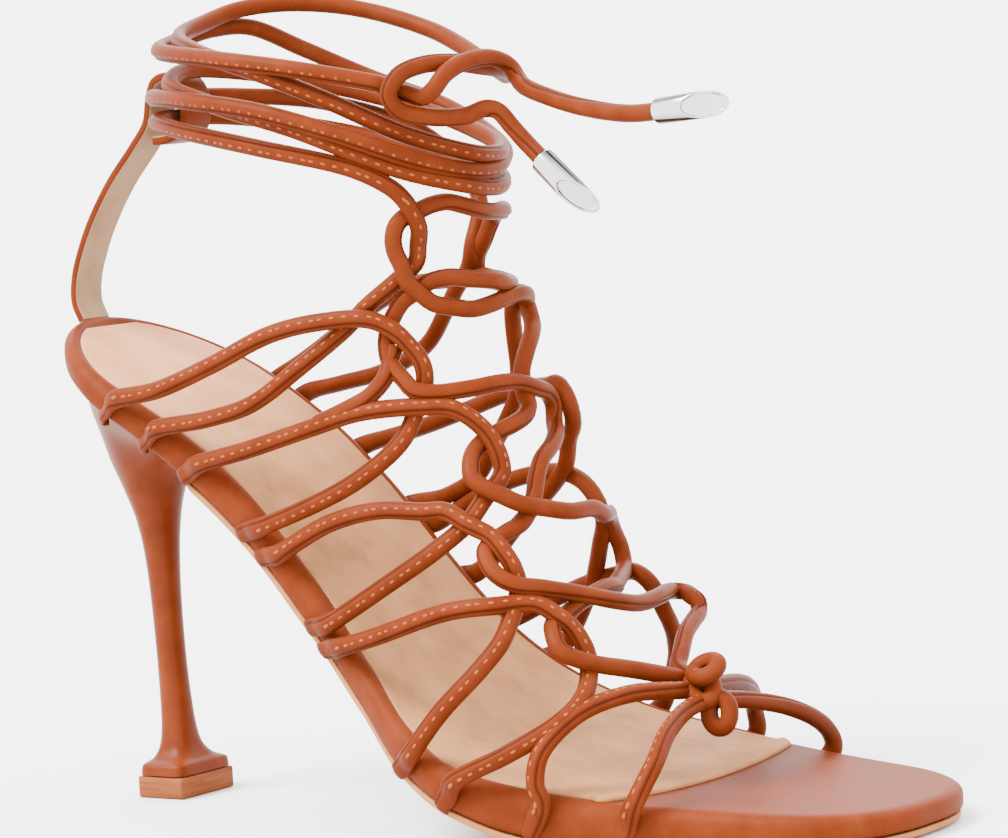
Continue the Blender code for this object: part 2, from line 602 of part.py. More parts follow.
def build_ankle_lace():
    """Lace wound round the ankle, its knot, its two free ends and their metal tips."""
    wound = []
    for name, rows, collar in zip(("wound_p", "wound_q"), (WOUND_P, WOUND_Q), collar_routes()):
        line = smooth_line([on_ankle(*row) for row in rows], CORD_STEP)
        wound.append(tube(name, trimmed(line, end=GAP), start_way=joint_way(collar, rows)))
    joined("ankle_lace", wound)

    knots = []
    for name, rows, loose in (("short", KNOT_P, END_SHORT), ("long", KNOT_Q, END_LONG)):
        tied = [on_ankle(*row) for row in rows]
        line = smooth_line([tied[-1], *[np.array(p) for p in loose]], 8.0)
        way = (line[1] - line[0]) / np.linalg.norm(line[1] - line[0])
        knots.append(tube("knot_" + name, trimmed(smooth_line(tied, 3.2), start=GAP), end_way=way))
        free_cord("lace_end_" + name, trimmed(line, start=GAP, end=0.0))
        build_aglet("aglet_" + name, line[-1], line[-1] - line[-2])
    joined("lace_knot", knots)


def build_aglet(name, start, way):
    """Metal tip on a lace end: a short tube cut on the slant."""
    way = np.array(way) / np.linalg.norm(way)
    side = np.cross(way, (0, 0, 1))
    side /= np.linalg.norm(side)
    up = np.cross(side, way)
    rings = []
    for run, slant in ((GAP, 0.0), (AGLET_LENGTH - 4.5, 4.5)):
        ring = []
        for k in range(12):
            turn = 2 * math.pi * k / 12
            over = side * math.cos(turn) + up * math.sin(turn)
            ring.append(start + way * (run - slant * math.cos(turn)) + over * AGLET / 2)
        rings.append(ring)
    ring_solid(name, rings, "chrome")


def main():
    for thing in list(bpy.data.objects):
        bpy.data.objects.remove(thing)
    build_sole()
    build_heel()
    build_strap_net()
    build_heel_strap()
    build_ankle_lace()


main()
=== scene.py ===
"""Lace-up heeled sandal, right shoe: leather cords, wrapped sole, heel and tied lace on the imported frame.

Tables are in millimetres in the shoe's own frame: x runs from the back of the heel to the toe,
y from the wearer's right (near, outer side, negative) to the left, z up from the floor.
"""
import math

import bmesh
import bpy
import numpy as np
from mathutils import Matrix


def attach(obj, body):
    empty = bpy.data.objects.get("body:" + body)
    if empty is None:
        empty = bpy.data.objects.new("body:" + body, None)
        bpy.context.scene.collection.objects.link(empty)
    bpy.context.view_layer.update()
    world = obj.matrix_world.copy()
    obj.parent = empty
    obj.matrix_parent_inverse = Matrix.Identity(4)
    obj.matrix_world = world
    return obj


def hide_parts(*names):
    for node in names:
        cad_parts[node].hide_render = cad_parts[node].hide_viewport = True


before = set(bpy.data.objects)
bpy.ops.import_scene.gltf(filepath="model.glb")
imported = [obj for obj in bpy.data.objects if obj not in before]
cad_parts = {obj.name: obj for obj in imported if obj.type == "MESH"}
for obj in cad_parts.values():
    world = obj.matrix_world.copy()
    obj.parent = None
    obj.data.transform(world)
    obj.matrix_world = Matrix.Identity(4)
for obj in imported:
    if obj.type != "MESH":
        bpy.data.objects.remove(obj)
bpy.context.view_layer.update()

MM = 0.001

# driving sizes, mm; TOE_POWER is the squareness of the toe, MIDDLE the frame's origin
BACK = -1.0
LENGTH = 206.6
MIDDLE = (101.6, 1.2)
GAP = 0.3
CORD = 3.8
HEEL_ROUND = 26.0
TOE_ROUND = 24.0
TOE_POWER = 2.5
RIM = 2.5
OUTSOLE = 1.5
BREAST = 41.0
SOCK_FRONT = 158.5
SOCK_SIDE = 153.0
FOOT_DROPS = (7.0, 3.5)
FOOT_LEAN = 0.4

# sole sections: station, top of the board, underside of the outsole, half width near and far
SOLE = np.array([
    (0, 107.6, 99.6, 26.0, 26.0),
    (15, 99.3, 91.2, 26.5, 26.5),
    (30, 91.2, 82.4, 26.0, 26.0),
    (45, 81.8, 71.5, 25.2, 25.2),
    (60, 69.0, 58.0, 24.7, 24.7),
    (75, 52.5, 41.0, 25.0, 25.0),
    (90, 36.0, 25.5, 28.5, 27.5),
    (105, 24.0, 14.0, 36.0, 33.0),
    (120, 16.5, 7.0, 40.5, 39.5),
    (135, 12.6, 2.0, 38.5, 43.0),
    (150, 10.6, 0.0, 34.5, 42.0),
    (165, 9.2, 0.0, 29.5, 39.5),
    (180, 8.4, 0.0, 25.5, 36.0),
    (195, 7.8, 0.0, 22.5, 32.5),
    (210, 7.2, 0.6, 21.5, 30.0),
])
TOP, UNDER, NEAR, FAR = 1, 2, 3, 4

# last, as a fan of sections: station on the insole, then x and z of the instep ridge above it
LAST = np.array([
    (5, 115.0, 141.0),
    (28, 112.0, 126.0),
    (45, 110.0, 112.0),
    (65, 114.0, 96.0),
    (85, 122.5, 78.0),
    (105, 131.5, 58.0),
    (125, 140.5, 41.5),
    (145, 150.0, 31.0),
    (165, 160.5, 25.0),
])
LAST_POWER = 2.3

# ankle ring that the lace is wound on: centre x, half length, half width
ANKLE = (70.0, 39.5, 30.0)

# heel sections: height, centre x, half length, half width, squareness, share of the seat's slope
HEEL = (
    (5.2, 15.5, 6.5, 9.5, 7.0, 0.0),
    (7.2, 15.5, 6.3, 9.2, 7.0, 0.0),
    (8.8, 15.2, 5.0, 6.4, 4.0, 0.0),
    (11.5, 14.7, 4.1, 4.7, 2.8, 0.0),
    (16.0, 14.4, 3.7, 4.0, 2.2, 0.0),
    (31.0, 13.6, 3.35, 3.45, 2.0, 0.0),
    (45.0, 13.1, 3.5, 3.6, 2.0, 0.0),
    (55.0, 12.8, 4.0, 4.2, 2.0, 0.0),
    (63.0, 12.4, 5.0, 5.4, 2.0, 0.0),
    (70.0, 11.8, 6.8, 7.6, 2.0, 0.15),
    (77.0, 12.2, 9.8, 11.2, 2.0, 0.4),
    (83.5, 14.8, 13.8, 16.0, 2.1, 0.75),
    (0.0, 18.6, 17.6, 20.8, 2.2, 1.0),
    (0.0, 20.2, 19.6, 23.4, 2.3, 1.0),
)
# step of the seat's two rows, then the heel tip's length, width and height
SEAT_STEP = 3.5
LIFT = (13.0, 19.0, 4.9)

# side loops of the strap net: station, degrees over the last from that side's edge, lift off it
NEAR_LOOPS = (
    ((27, 0, 0), (30, 5, 0), (31, 14, 0.5), (31, 26, 1), (34, 35, 1.5), (39, 45, 1.5), (44, 50, 1.5),
     (49, 53, 1), (55, 55, 0.5), (59, 54, -0.5), (62, 50, -1), (66, 44, -1), (68, 38, 0), (68.5, 25, 0),
     (67, 13, 0), (64, 0, 0)),
    ((49, 0, 0), (52, 9, 0), (55, 22, 0), (58, 34, 1), (64, 49, 1.5), (68, 58, 1.5), (75, 65, 1),
     (81, 67, 0), (84, 66, -1), (86, 57, -1.5), (88, 47, -1), (88, 35, 0), (86, 20, 0), (82, 0, 0)),
    ((69, 0, 0), (71, 13, 0), (75, 25, 0.5), (81, 36, 1), (84, 42, 1.5), (89, 47, 1.5), (94, 53, 1.5),
     (98, 56, 1), (102, 58, 0.5), (105, 58, -1), (110, 51, -0.5), (113, 44, 0), (114, 33, 0),
     (113, 15, 0), (112, 0, 0)),
    ((86, 0, 0), (90, 8, 0), (99, 32, 0), (106, 48, 0.5), (111, 61, 0.5), (116, 66, 1), (121, 69, 1),
     (127, 69, 0), (130, 67, -1), (135, 60, -0.5), (138, 51, 0), (138, 37, 0), (132, 16, 0), (124, 0, 0)),
)
FAR_LOOPS = (
    ((27, 0, 0), (25, 6, 0.5), (23, 12, 0.5), (21, 19, 0.5), (21, 26, 0.5), (25, 33, 0.5), (30, 41, 0.5),
     (36, 52, 0.3), (41, 60, 0), (44, 62, 0), (47, 59, 0), (52, 55, 0), (58, 49, 0),
     (62, 42, 0), (64, 34, 0), (66, 24, 0), (68, 14, 0), (67, 5, 0), (65, 0, 0)),
    ((51, 0, 0), (54, 9, 0), (57, 22, 0), (60, 36, 0.5), (64, 50, 1), (67, 60, 2), (69, 66, 3.5),
     (73, 67, 4), (77, 62, 3), (78, 53, 1.5), (80, 45, 0.5), (80, 35, 0), (79, 16, 0), (79, 0, 0)),
    ((69, 0, 0), (71, 13, 0), (74, 25, 0.5), (79, 37, 1.5), (82, 41, 2), (86, 46, 1.5), (90, 48, 1),
     (93, 45, 0.5), (94, 36, 0), (95, 28, 0), (96, 20, 0), (97, 0, 0)),
    ((88, 0, 0), (91, 8, 0), (95, 20, 0.5), (99, 30, 1), (103, 40, 0.5), (107, 45, 0), (110, 46, -0.5),
     (113, 43, -1.5), (115, 36, -1.5), (116, 28, -1), (117, 18, -0.5), (118, 0, 0)),
)
# short strand of the near side, from the second loop's leg up to the lace at the first loop
CATCH = ((55, 24, 0), (56, 33, 1), (56, 38, 1), (54, 44, 1), (51, 47, 0), (48, 50, -1))

# toe straps: near half of each up to the toe knot, then the far half
TOE_STRAPS = (
    (((143, 0, 0), (141, 6, 0), (139, 21, 0), (140, 45, 0), (145, 68, 0.5), (153, 88, 0.5)),
     ((140, 0, 0), (139, 10, -1), (141, 30, -3), (147, 60, -2))),
    (((161, 0, 0), (163, 9, 0), (166, 32, 0), (164, 60, 0), (160, 87, 0)),
     ((161, 0, 0), (162, 10, -1), (163, 30, -2.5), (162, 60, -2))),
)

# collar straps up to the ankle, where each runs on into the wound lace; the near one's top is on the ring
NEAR_COLLAR = ((38, 0, 0), (42, 7, 0), (44, 15, 0), (42, 27, 0), (38, 40, -1.5), (35, 46, -1.5),
               (32, 54, -1.5), (29, 60, -1.5), (24, 61, -1.5))
NEAR_COLLAR_TOP = ((34, 128, 0), (37, 132, 1))
FAR_COLLAR = ((34, 0, 0), (36, 4, 0), (39, 12, 0), (39, 24, -1), (34, 32, -1), (30, 37, -1),
              (26, 41, 0), (20, 44, 0))

# criss-cross lace: both strands hook the loops in turn, given from the ankle to the toe knot
STRAND_P = (
    (20, 54, 1.6), (24, 54, 1.6), (29, 55, 1.6), (34, 56, 1.6), (38, 59, 1.5), (42, 63, 1.2),
    (45, 70, 1), (47, 77, 1), (47, 85, 1), (46, 92, 1.2), (45, 101, 2), (45, 110, 2.8), (46, 116, 3),
    (49, 114, 3), (53, 111, 2.8), (57, 104, 2), (61, 97, 1.2), (65, 93, 0), (69, 92, -1), (73, 91, -1),
    (75, 87, -1), (76, 79, -1), (76, 72, -1.5), (76, 66, -1.8), (77, 60, -1.5), (79, 56, 0), (82, 54, 1),
    (85, 56, 1.6), (88, 60, 1.8), (92, 67, 1.5), (95, 77, 1), (97, 86, 1), (97, 97, 0.5), (97, 108, -0.5),
    (95, 121, 0), (94, 131, 1), (95, 138, 2), (97, 142, 2.5), (100, 142, 0.5), (103, 133, -3.5),
    (107, 114, -6), (110, 102, -5), (112, 91, -2.5), (114, 79, -1.5), (115, 72, -1.8), (116, 65, -1),
    (119, 62, 0.5), (124, 60, 1.5), (128, 62, 1.8), (133, 68, 1.5), (139, 78, 1.2), (145, 87, 1),
    (151, 92, 1),
)
STRAND_Q = (
    (20, 134, 1.5), (24, 138, 1.8), (28, 139, 1.8), (32, 134, 1), (36, 124, -0.5), (40, 110, -1),
    (42, 97, 0), (41, 88, 1), (39, 76, 1), (37, 69, 1), (36, 63, 0), (37, 59, -1), (38, 55, -1.8),
    (43, 50, -1.5), (47, 48, -1), (51, 47, 0), (57, 48, 1.5), (60, 49, 1.8), (63, 55, 1.5), (65, 63, 1.2),
    (66, 69, 1), (67, 78, 1), (68, 87, 1), (70, 95, 1), (71, 104, 1), (73, 110, 0.5), (76, 110, -1),
    (79, 103, -1.2), (82, 94, -1.2), (85, 85, -1), (88, 80, -1.5), (91, 76, -1.8), (94, 68, -1.8),
    (94, 61, -1.8), (94, 55, -1.5), (95, 50, 0), (99, 50, 1), (103, 53, 1.6), (106, 57, 1.8),
    (109, 64, 1.5), (112, 72, 1), (115, 80, 1), (118, 88, 1), (119, 97, 0), (117.5, 109, 0),
    (115, 121, 0.5), (114, 129, 2), (116, 128, 3.5), (119, 124, 4), (122, 122, 4.5), (124, 121, 3.5),
    (128, 112, 2.5), (132, 104, 2), (138, 97, 1.5), (144, 92, 1),
)
# toe knot on the last, and how far from it the two strands end, mm
TOE_KNOT = (157, 90, 1.0)
KNOT_ENDS = ((0.6, -0.9, 1.4), (1.4, 0.8, 2.2))
# the lace between the tops of the two strands, round the front of the ankle ring: as the wound lace
FRONT_RING = (
    (42, 129, 0), (38, 130.8, -1), (33, 131.8, -1), (28, 132.8, -1), (21, 133.2, -1), (14, 132.3, -1),
    (3, 130.8, -1), (-22, 130, -1.5), (-40, 130, -1), (-54, 128, 0),
)

# wound ankle lace: degrees round from the front by the near side, height, lift off the ring
WOUND_P = (
    (41, 135.6, 1.0), (46, 138.1, 1.0), (57, 141.6, 0.2), (88, 146.8, 0), (125, 151.2, 1.0),
    (155, 153.2, 3.6), (180, 153.8, 5.0), (205, 153.0, 3.6), (235, 149.5, 1.0), (270, 143.8, 0),
    (312, 138.6, -0.8), (340, 135.8, -1.0), (360, 135.6, 0), (376, 136.8, 1.2), (400, 140.6, 1.2),
    (435, 150.4, 0), (465, 156.2, 0), (500, 161.0, 0), (540, 164.2, -0.8), (585, 161.0, 0),
    (630, 153.0, 0), (675, 145.0, -0.8), (700, 142.8, -1.0), (716, 142.6, 0), (732, 143.4, 1.0),
    (757, 148.0, 0), (782, 155.8, 0), (806, 162.6, 0), (832, 167.5, -0.5), (870, 171.5, -3.0),
    (900, 174.5, -4.5), (924, 177.2, -3.5), (947, 177.8, -2.0), (970, 175.8, 0), (998, 170.0, 0),
    (1036, 161.4, -0.8), (1056, 159.2, 1.0),
)
WOUND_Q = (
    (-66, 131.5, 1.5), (-75, 138.5, 2.4), (-92, 147.5, 2.8), (-125, 155.4, 2.8), (-155, 157.8, 4.0),
    (-180, 158.4, 5.0), (-205, 158.6, 4.0), (-245, 157.6, 2.8), (-275, 154.6, 2.8), (-300, 149.0, 2.8),
    (-325, 142.4, 2.6), (-348, 139.4, 1.2), (-366, 139.4, -0.2), (-384, 140.8, -0.9), (-404, 143.8, 0.6),
    (-440, 152.5, 2.8), (-469, 160.5, 2.8), (-490, 167.5, 1.5), (-510, 173.0, -0.5), (-528, 173.0, -1.0),
    (-550, 170.6, 0.5), (-582, 168.6, 2.0), (-620, 166.2, 2.8), (-644, 163.6, 2.8), (-662, 161.0, 2.8),
    (-674, 159.0, 2.8),
)

# lace knot at the front of the ankle, same columns; each strand carries on into a free end
KNOT_P = (
    (1056, 159.2, 1.0), (1074, 160.3, 4.0), (1092, 161.5, 6.0), (1104, 162.6, 7.0), (1114, 162.4, 7.4),
    (1121, 160.5, 7.4), (1124, 156.6, 7.0), (1121, 153.1, 6.8), (1112, 151.5, 7.2), (1102, 151.3, 9.0),
    (1097, 152.6, 11.2), (1095, 152.0, 13.2),
)
KNOT_Q = (
    (-674, 159.0, 2.8), (-678, 158.0, 2.8), (-682, 156.8, 4.5), (-686, 155.8, 7.5), (-688, 157.3, 10.0),
    (-691, 160.1, 10.5), (-697, 162.4, 10.0), (-708, 163.1, 9.5), (-715, 161.1, 10.0), (-715, 158.5, 12.0),
    (-713, 156.8, 15.0),
)
# free ends: x, y, z of the points that follow the knot
END_SHORT = ((123.6, -10.2, 148.6), (126.8, -10.0, 145.2), (131.2, -10.6, 141.4))
END_LONG = ((131.0, -7.2, 154.4), (141.0, -9.5, 151.9), (152.0, -12.0, 150.3), (158.0, -13.2, 150.1),
            (163.0, -14.0, 150.4))
AGLET_LENGTH = 17.0

# heel strap: x and z of its middle line from the sole to the keeper, then round the keeper's fold
STRAP_LINE = (
    (-2.9, 108.7), (-4.7, 112.8), (-4.3, 118.2), (-2.0, 124.4), (1.8, 131.5), (8.0, 140.0), (15.2, 147.6),
    (19.6, 153.0), (20.8, 158.2), (22.6, 162.0), (26.2, 163.0), (29.6, 160.6), (30.9, 156.0),
    (29.4, 151.2), (25.6, 149.2), (21.6, 148.8),
)
STRAP_WIDTH = 9.5
STRAP_THICK = 2.0
STRAP_EDGE = 0.7
STRAP_STEP = 0.8
LINING_DEPTH = 0.3

# stations of the sole's outline: how many, and how far inside its ends
EDGE_COUNT = 150
END_STEP = 0.05
# side band, outwards and down: inset, share of the board's depth, share of the rim's height
BAND_PROFILE = (
    (1.9, 0.0, 0.0), (1.2, 0.0, 0.55), (0.6, 0.0, 0.95), (0.0, 0.01, 1.0), (-0.7, 0.03, 0.8),
    (-1.4, 0.09, 0.5), (-2.0, 0.17, 0.2), (-2.4, 0.29, 0.0), (-2.5, 0.42, 0.0), (-2.5, 0.7, 0.0),
    (-2.35, 0.86, 0.0), (-1.9, 0.95, 0.0), (-1.2, 1.0, 0.0),
)
# rim round the footbed: its height, and the length over which it fades out before the sock's front
RIM_HEIGHT = 0.9
RIM_FADE = 14
# tread: inset and height above its underside, then inset and depth below its top
TREAD_LOW = ((-0.9, 0.0), (-1.4, 0.08), (-1.75, 0.35))
TREAD_HIGH = ((-1.9, 0.25), (-1.75, 0.02), (-1.5, 0.0))
# sock: inset and height of its rolled edge, its least inset, start past the back, shares of its bow
SOCK_RINGS = ((1.35, 0.05), (1.25, 0.45), (1.45, 0.8), (2.0, 0.98), (3.0, 1.05))
SOCK_INSET = 1.25
SOCK_BACK = 1.6
BOW_SHARES = np.linspace(1.0, 0.02, 24)[1:]
# heel: points round it, and rings to each row of its table
HEEL_SIDES = 72
HEEL_BETWEEN = 6
# heel tip: level above the floor and inset, then level from its top and inset
LIFT_LOW = ((0.0, 0.55), (0.12, 0.2), (0.45, 0.0))
LIFT_HIGH = ((-0.3, 0.0), (-0.08, 0.1), (0.0, 0.3))
LIFT_CORNER = 0.7
# metal tip: distance and radius from the cord's end, then from the cut end, and the slant of the cut
TIP_FOOT = ((0.1, 2.05), (0.1, 2.6), (0.35, 2.8))
TIP_MOUTH = ((-0.4, 2.8), (-0.1, 2.7), (0.0, 2.5), (-0.15, 2.3), (-0.9, 2.25))
TIP_SLANT = 4.5
TIP_SIDES = 40

# middle line of the foot, x and z: a cord's outer face looks away from it
CORE = np.array([(70, 185), (70, 130), (78, 98), (102, 56), (130, 24), (165, 10)], float)
# point inside the ankle that the ankle knot and the free ends look away from
KNOT_MIDDLE = np.array([70.0, 0.0, 156.0])
# rows of the two knot tables where the free ends leave the knot
LEAVE_P = 7
LEAVE_Q = -1
# turns of the toe knot: shift from its middle, half sizes along x, y and z, lean
KNOT_TURNS = (((2.2, -0.5, 5.0), (2.7, 1.9, 1.5), 0.4),
              ((1.0, -0.6, 0.8), (2.6, 1.8, 2.1), -1.2),
              ((4.8, -0.3, -4.2), (2.5, 1.0, 3.0), -0.6))
KNOT_SWEEP = np.linspace(0, 2.1 * math.pi, 56)

# cord lines: steps between two points of a route, and the even step that is kept
ROUTE_STEPS = 12
FINE_STEP = 0.9
# cord cross-section: angles from the seam, closer together near it
SEAM_SPAN = 0.6
RING_TURNS = np.concatenate([np.linspace(-SEAM_SPAN, SEAM_SPAN, 9),
                             np.linspace(SEAM_SPAN, 2 * math.pi - SEAM_SPAN, 15)[1:-1]])
# pressed seam: groove's spread and lips' place in radians, depth and lips as shares of the radius
GROOVE_SPREAD = 0.17
LIP_PLACE = 0.42
GROOVE_DEPTH = 0.13
LIP_HEIGHT = 0.03
# where the seam lies, degrees from a cord's outer face; STRAP_BROAD is breadth over depth
STRAP_SEAM = 40
CROSS_SEAM = 55
KNOT_SEAM = 60
HIDDEN_SEAM = 180
STRAP_BROAD = 1.04
# feet of the straps: share of the sole's depth below its top, and how far they press in
FOOT_REST = ((0.86, 4.6), (0.8, 2.2), (0.42, 1.4))
# flattened feet: lengths of the flat part and its tip, then shares of the cord lost or gained
FLAT_REACH = 11.0
TIP_REACH = 5.0
FLAT_THIN = 0.5
FLAT_BROAD = 0.3
TIP_THIN = 0.5
TIP_NARROW = 0.35
# stitches: sizes, bluntness of the ends, rings and sides of each, degrees from a cord's outer face
STITCH_PITCH = 2.5
STITCH_LENGTH = 1.5
STITCH_WIDE = 0.42
STITCH_PROUD = 0.12
STITCH_BLUNT = 0.6
STITCH_RINGS = 5
STITCH_SIDES = 6
STITCH_TURN = -14
# ends left without stitches on the side loops, the other straps and the wound lace
LOOP_PLAIN = 11
STRAP_PLAIN = 9
LACE_PLAIN = 4.0

# second finish of a piece: thread on the sewn cords, lining on the heel strap
SECOND = 1
# linear colours: leather, painted shade in the cords' seam grooves, thread, footbed at the heel and forward
# of it, pairs of tans, painted reflection bands of the chrome
LEATHER_DEEP = (0.06, 0.009, 0.0018)
LEATHER_TONES = ((0.15, LEATHER_DEEP), (0.5, (0.086, 0.0145, 0.0032)), (0.9, (0.115, 0.0215, 0.0062)))
# painted shade laid into the cords' seam groove
SEAM_PAINTED_SHADE = (0.018, 0.0026, 0.0005)
THREAD_TONES = ((0.3, (0.15, 0.033, 0.008)), (0.7, (0.21, 0.052, 0.016)))
SOCK_WARM = ((0.3, (0.31, 0.13, 0.055)), (0.52, (0.37, 0.165, 0.075)), (0.74, (0.41, 0.195, 0.095)))
SOCK_COOL = ((0.3, (0.2, 0.083, 0.032)), (0.52, (0.265, 0.115, 0.046)), (0.74, (0.315, 0.145, 0.062)))
LINING_TAN = ((0.19, 0.112, 0.06), (0.26, 0.165, 0.095))
TREAD_TAN = ((0.24, 0.085, 0.027), (0.33, 0.125, 0.044))
LIFT_TAN = ((0.1, 0.026, 0.0065), (0.17, 0.05, 0.015))
# painted reflection: grey bands of a studio painted into the metal tips' colour, by how far the surface
# faces up
CHROME_PAINTED_REFLECTION = ((0.08, 0.05), (0.22, 0.3), (0.42, 0.5), (0.7, 0.46), (0.84, 0.07), (0.95, 0.16))
# footbed's change of colour along x, stretch of the lift's layers, shine of the matt finishes
SOCK_FADE = (-0.085, -0.035)
LIFT_LAYERS = 700.0
MATT_SHINE = 0.06

# stage: floor, light of the sky, lamps by name, place, strength and spread in degrees
FLOOR_REACH = 60.0
FLOOR_GREY = (0.62, 0.62, 0.62, 1)
SKY_LIGHT = 6.0
LAMPS = (("key", (-0.45, -0.6, 1.05), 13.0, 30), ("back", (-0.5, 0.9, 0.9), 2.0, 40))
LAMP_AIM = (0.0, 0.0, 0.08)
# camera of the photo: its right, up and forward, its place in the shoe's frame, lens and sensor in mm
CAMERA_AXES = ((0.818830, 0.571113, -0.057859), (-0.000216, 0.101100, 0.994876),
               (-0.574037, 0.814622, -0.082907))
CAMERA_PLACE = (651.66, -768.52, 163.97)
LENS = 156.9
SENSOR = 36.0


def blend(a, b, start, end, u):
    """Cubic from a to b with the slopes start and end, u going from 0 to 1."""
    return (a * (1 + 2 * u) * (1 - u) ** 2 + start * u * (1 - u) ** 2
            + b * u * u * (3 - 2 * u) + end * u * u * (u - 1))


def even_curve(xs, ys, x):
    """Smooth curve through a table that doesn't overshoot it and runs on straight past its ends."""
    xs = np.asarray(xs, float)
    ys = np.asarray(ys, float)
    width = np.diff(xs)
    slope = np.diff(ys) / width
    tangent = np.zeros_like(ys)
    for i in range(1, len(xs) - 1):
        if slope[i - 1] * slope[i] > 0:
            tangent[i] = 2 * slope[i - 1] * slope[i] / (slope[i - 1] + slope[i])
    tangent[0], tangent[-1] = slope[0], slope[-1]
    inside = min(max(x, xs[0]), xs[-1])
    i = int(np.clip(np.searchsorted(xs, inside) - 1, 0, len(xs) - 2))
    u = (inside - xs[i]) / width[i]
    value = blend(ys[i], ys[i + 1], tangent[i] * width[i], tangent[i + 1] * width[i], u)
    return value + (x - inside) * (tangent[0] if x < inside else tangent[-1])


def sole(x, column):
    """One column of the sole's table at a station."""
    return even_curve(SOLE[:, 0], SOLE[:, column], x)


def sole_slope(x):
    """Rise of the board's top over one millimetre."""
    return sole(x + 0.5, TOP) - sole(x - 0.5, TOP)


def board_under(x):
    """Height of the board's underside: the outsole's thickness and a gap above the tread."""
    return sole(x, UNDER) + OUTSOLE * math.hypot(1, sole_slope(x)) + GAP


def end_share(x):
    """How much of the half width is left near the round heel and the squared toe."""
    if x < HEEL_ROUND:
        return math.sqrt(max(0.0, 1 - ((HEEL_ROUND - x) / (HEEL_ROUND - BACK)) ** 2))
    past = (x - (LENGTH - TOE_ROUND)) / TOE_ROUND
    return 1.0 if past <= 0 else max(0.0, 1 - past ** TOE_POWER) ** (1 / TOE_POWER)


def outline(stations, inset):
    """Near and far edges at the stations, moved in by inset square to the edge."""
    edge = []
    for side in (-1, 1):
        for x in stations:
            middle = (sole(x, FAR) - sole(x, NEAR)) / 2
            half = (sole(x, FAR) + sole(x, NEAR)) / 2
            edge.append((x, middle + side * half * end_share(x)))
    count = len(stations)
    loop = np.array(edge[:count] + edge[count:][::-1])
    ahead = np.roll(loop, -1, axis=0)
    behind = np.roll(loop, 1, axis=0)
    along = ahead - behind
    along /= np.linalg.norm(along, axis=1)[:, None]
    moved = loop + inset * np.column_stack([-along[:, 1], along[:, 0]])
    return moved[:count], moved[count:][::-1]


def edge_stations():
    """Stations along the whole sole, closer together at both ends."""
    start, end = BACK + END_STEP, LENGTH - END_STEP
    shares = [(1 - math.cos(math.pi * i / (EDGE_COUNT - 1))) / 2 for i in range(EDGE_COUNT)]
    return [start + (end - start) * share for share in shares]


def on_last(station, degrees, lift=0.0):
    """Point over the last: from the near edge (0) by the ridge (90) to the far edge (180)."""
    turn = math.radians(degrees)
    across, up = math.cos(turn), math.sin(turn)
    half = sole(station, NEAR if across > 0 else FAR) + RIM + GAP + CORD / 2
    base = np.array([station, 0.0, sole(station, TOP)])
    ridge = np.array([even_curve(LAST[:, 0], LAST[:, 1], station), 0.0,
                      even_curve(LAST[:, 0], LAST[:, 2], station)])
    rise = ridge - base
    share = 2 / LAST_POWER
    side = -math.copysign(half * abs(across) ** share, across)
    point = base + rise * abs(up) ** share + np.array([0, side, 0])
    out = rise / np.linalg.norm(rise) * up + np.array([0, -across, 0])
    return point + out * lift


def on_ankle(degrees, height, lift=0.0):
    """Point of the ring round the ankle, degrees going from the front by the near side."""
    turn = math.radians(degrees)
    middle, long_half, wide_half = ANKLE
    across, along = (wide_half + lift) * math.sin(turn), (long_half + lift) * math.cos(turn)
    return np.array([middle + along, -across, height])


def foot(station, far, drop):
    """Point beside the sole's edge, drop below its top, where a strap runs back down the side band."""
    station -= FOOT_LEAN * drop
    edge = on_last(station, 180 if far else 0)
    slope = sole_slope(station)
    down = np.array([slope, 0, -1]) / math.hypot(1, slope)
    return edge + down * drop


def strap_route(rows, far=False, both_feet=False):
    """Route of a strap from its rows, with its ends run down the side band."""
    points = [on_last(station, 180 - degrees if far else degrees, lift) for station, degrees, lift in rows]
    start = [foot(rows[0][0], far, drop) for drop in FOOT_DROPS]
    end = [foot(rows[-1][0], far, drop) for drop in FOOT_DROPS[::-1]] if both_feet else []
    return start + points + end


def lace_route(knot):
    """Route of the criss-cross lace from the toe knot to the front of the ankle and back."""
    up = [knot + KNOT_ENDS[0]] + [on_last(*row) for row in STRAND_P[::-1]]
    front = [on_ankle(*row) for row in FRONT_RING]
    down = [on_last(*row) for row in STRAND_Q] + [knot + KNOT_ENDS[1]]
    return up + front + down


def collar_routes():
    """Near and far collar strap, each up to the start of its wound lace."""
    near = strap_route(NEAR_COLLAR) + [on_ankle(*row) for row in NEAR_COLLAR_TOP]
    return near, strap_route(FAR_COLLAR, far=True)


def run_along(line):
    """Distance along a line at each of its points."""
    return np.concatenate([[0], np.cumsum(np.linalg.norm(np.diff(line, axis=0), axis=1))])


def smooth_line(points, step):
    """Even points along a smooth curve through the route's own points."""
    points = np.array(points, float)
    ends = [2 * points[0] - points[1], *points, 2 * points[-1] - points[-2]]
    dense = []
    for i in range(1, len(ends) - 2):
        before, start, end, after = ends[i - 1:i + 3]
        knots = np.cumsum([0] + [np.linalg.norm(b - a) ** 0.5 for a, b in
                                 ((before, start), (start, end), (end, after))])
        for u in np.linspace(knots[1], knots[2], ROUTE_STEPS, endpoint=False):
            low = [(p * (knots[k + 1] - u) + q * (u - knots[k])) / (knots[k + 1] - knots[k])
                   for k, (p, q) in enumerate(((before, start), (start, end), (end, after)))]
            mid = [(low[k] * (knots[k + 2] - u) + low[k + 1] * (u - knots[k])) / (knots[k + 2] - knots[k])
                   for k in range(2)]
            dense.append((mid[0] * (knots[2] - u) + mid[1] * (u - knots[1])) / (knots[2] - knots[1]))
    dense = np.array(dense + [points[-1]])
    run = run_along(dense)
    count = max(2, round(run[-1] / step) + 1)
    at = np.linspace(0, run[-1], count)
    return np.column_stack([np.interp(at, run, dense[:, k]) for k in range(3)])


def metres(points):
    points = np.asarray(points, float)
    return (points - np.array([MIDDLE[0], MIDDLE[1], 0.0])) * MM


def unit(vectors):
    return vectors / np.linalg.norm(vectors, axis=-1, keepdims=True)


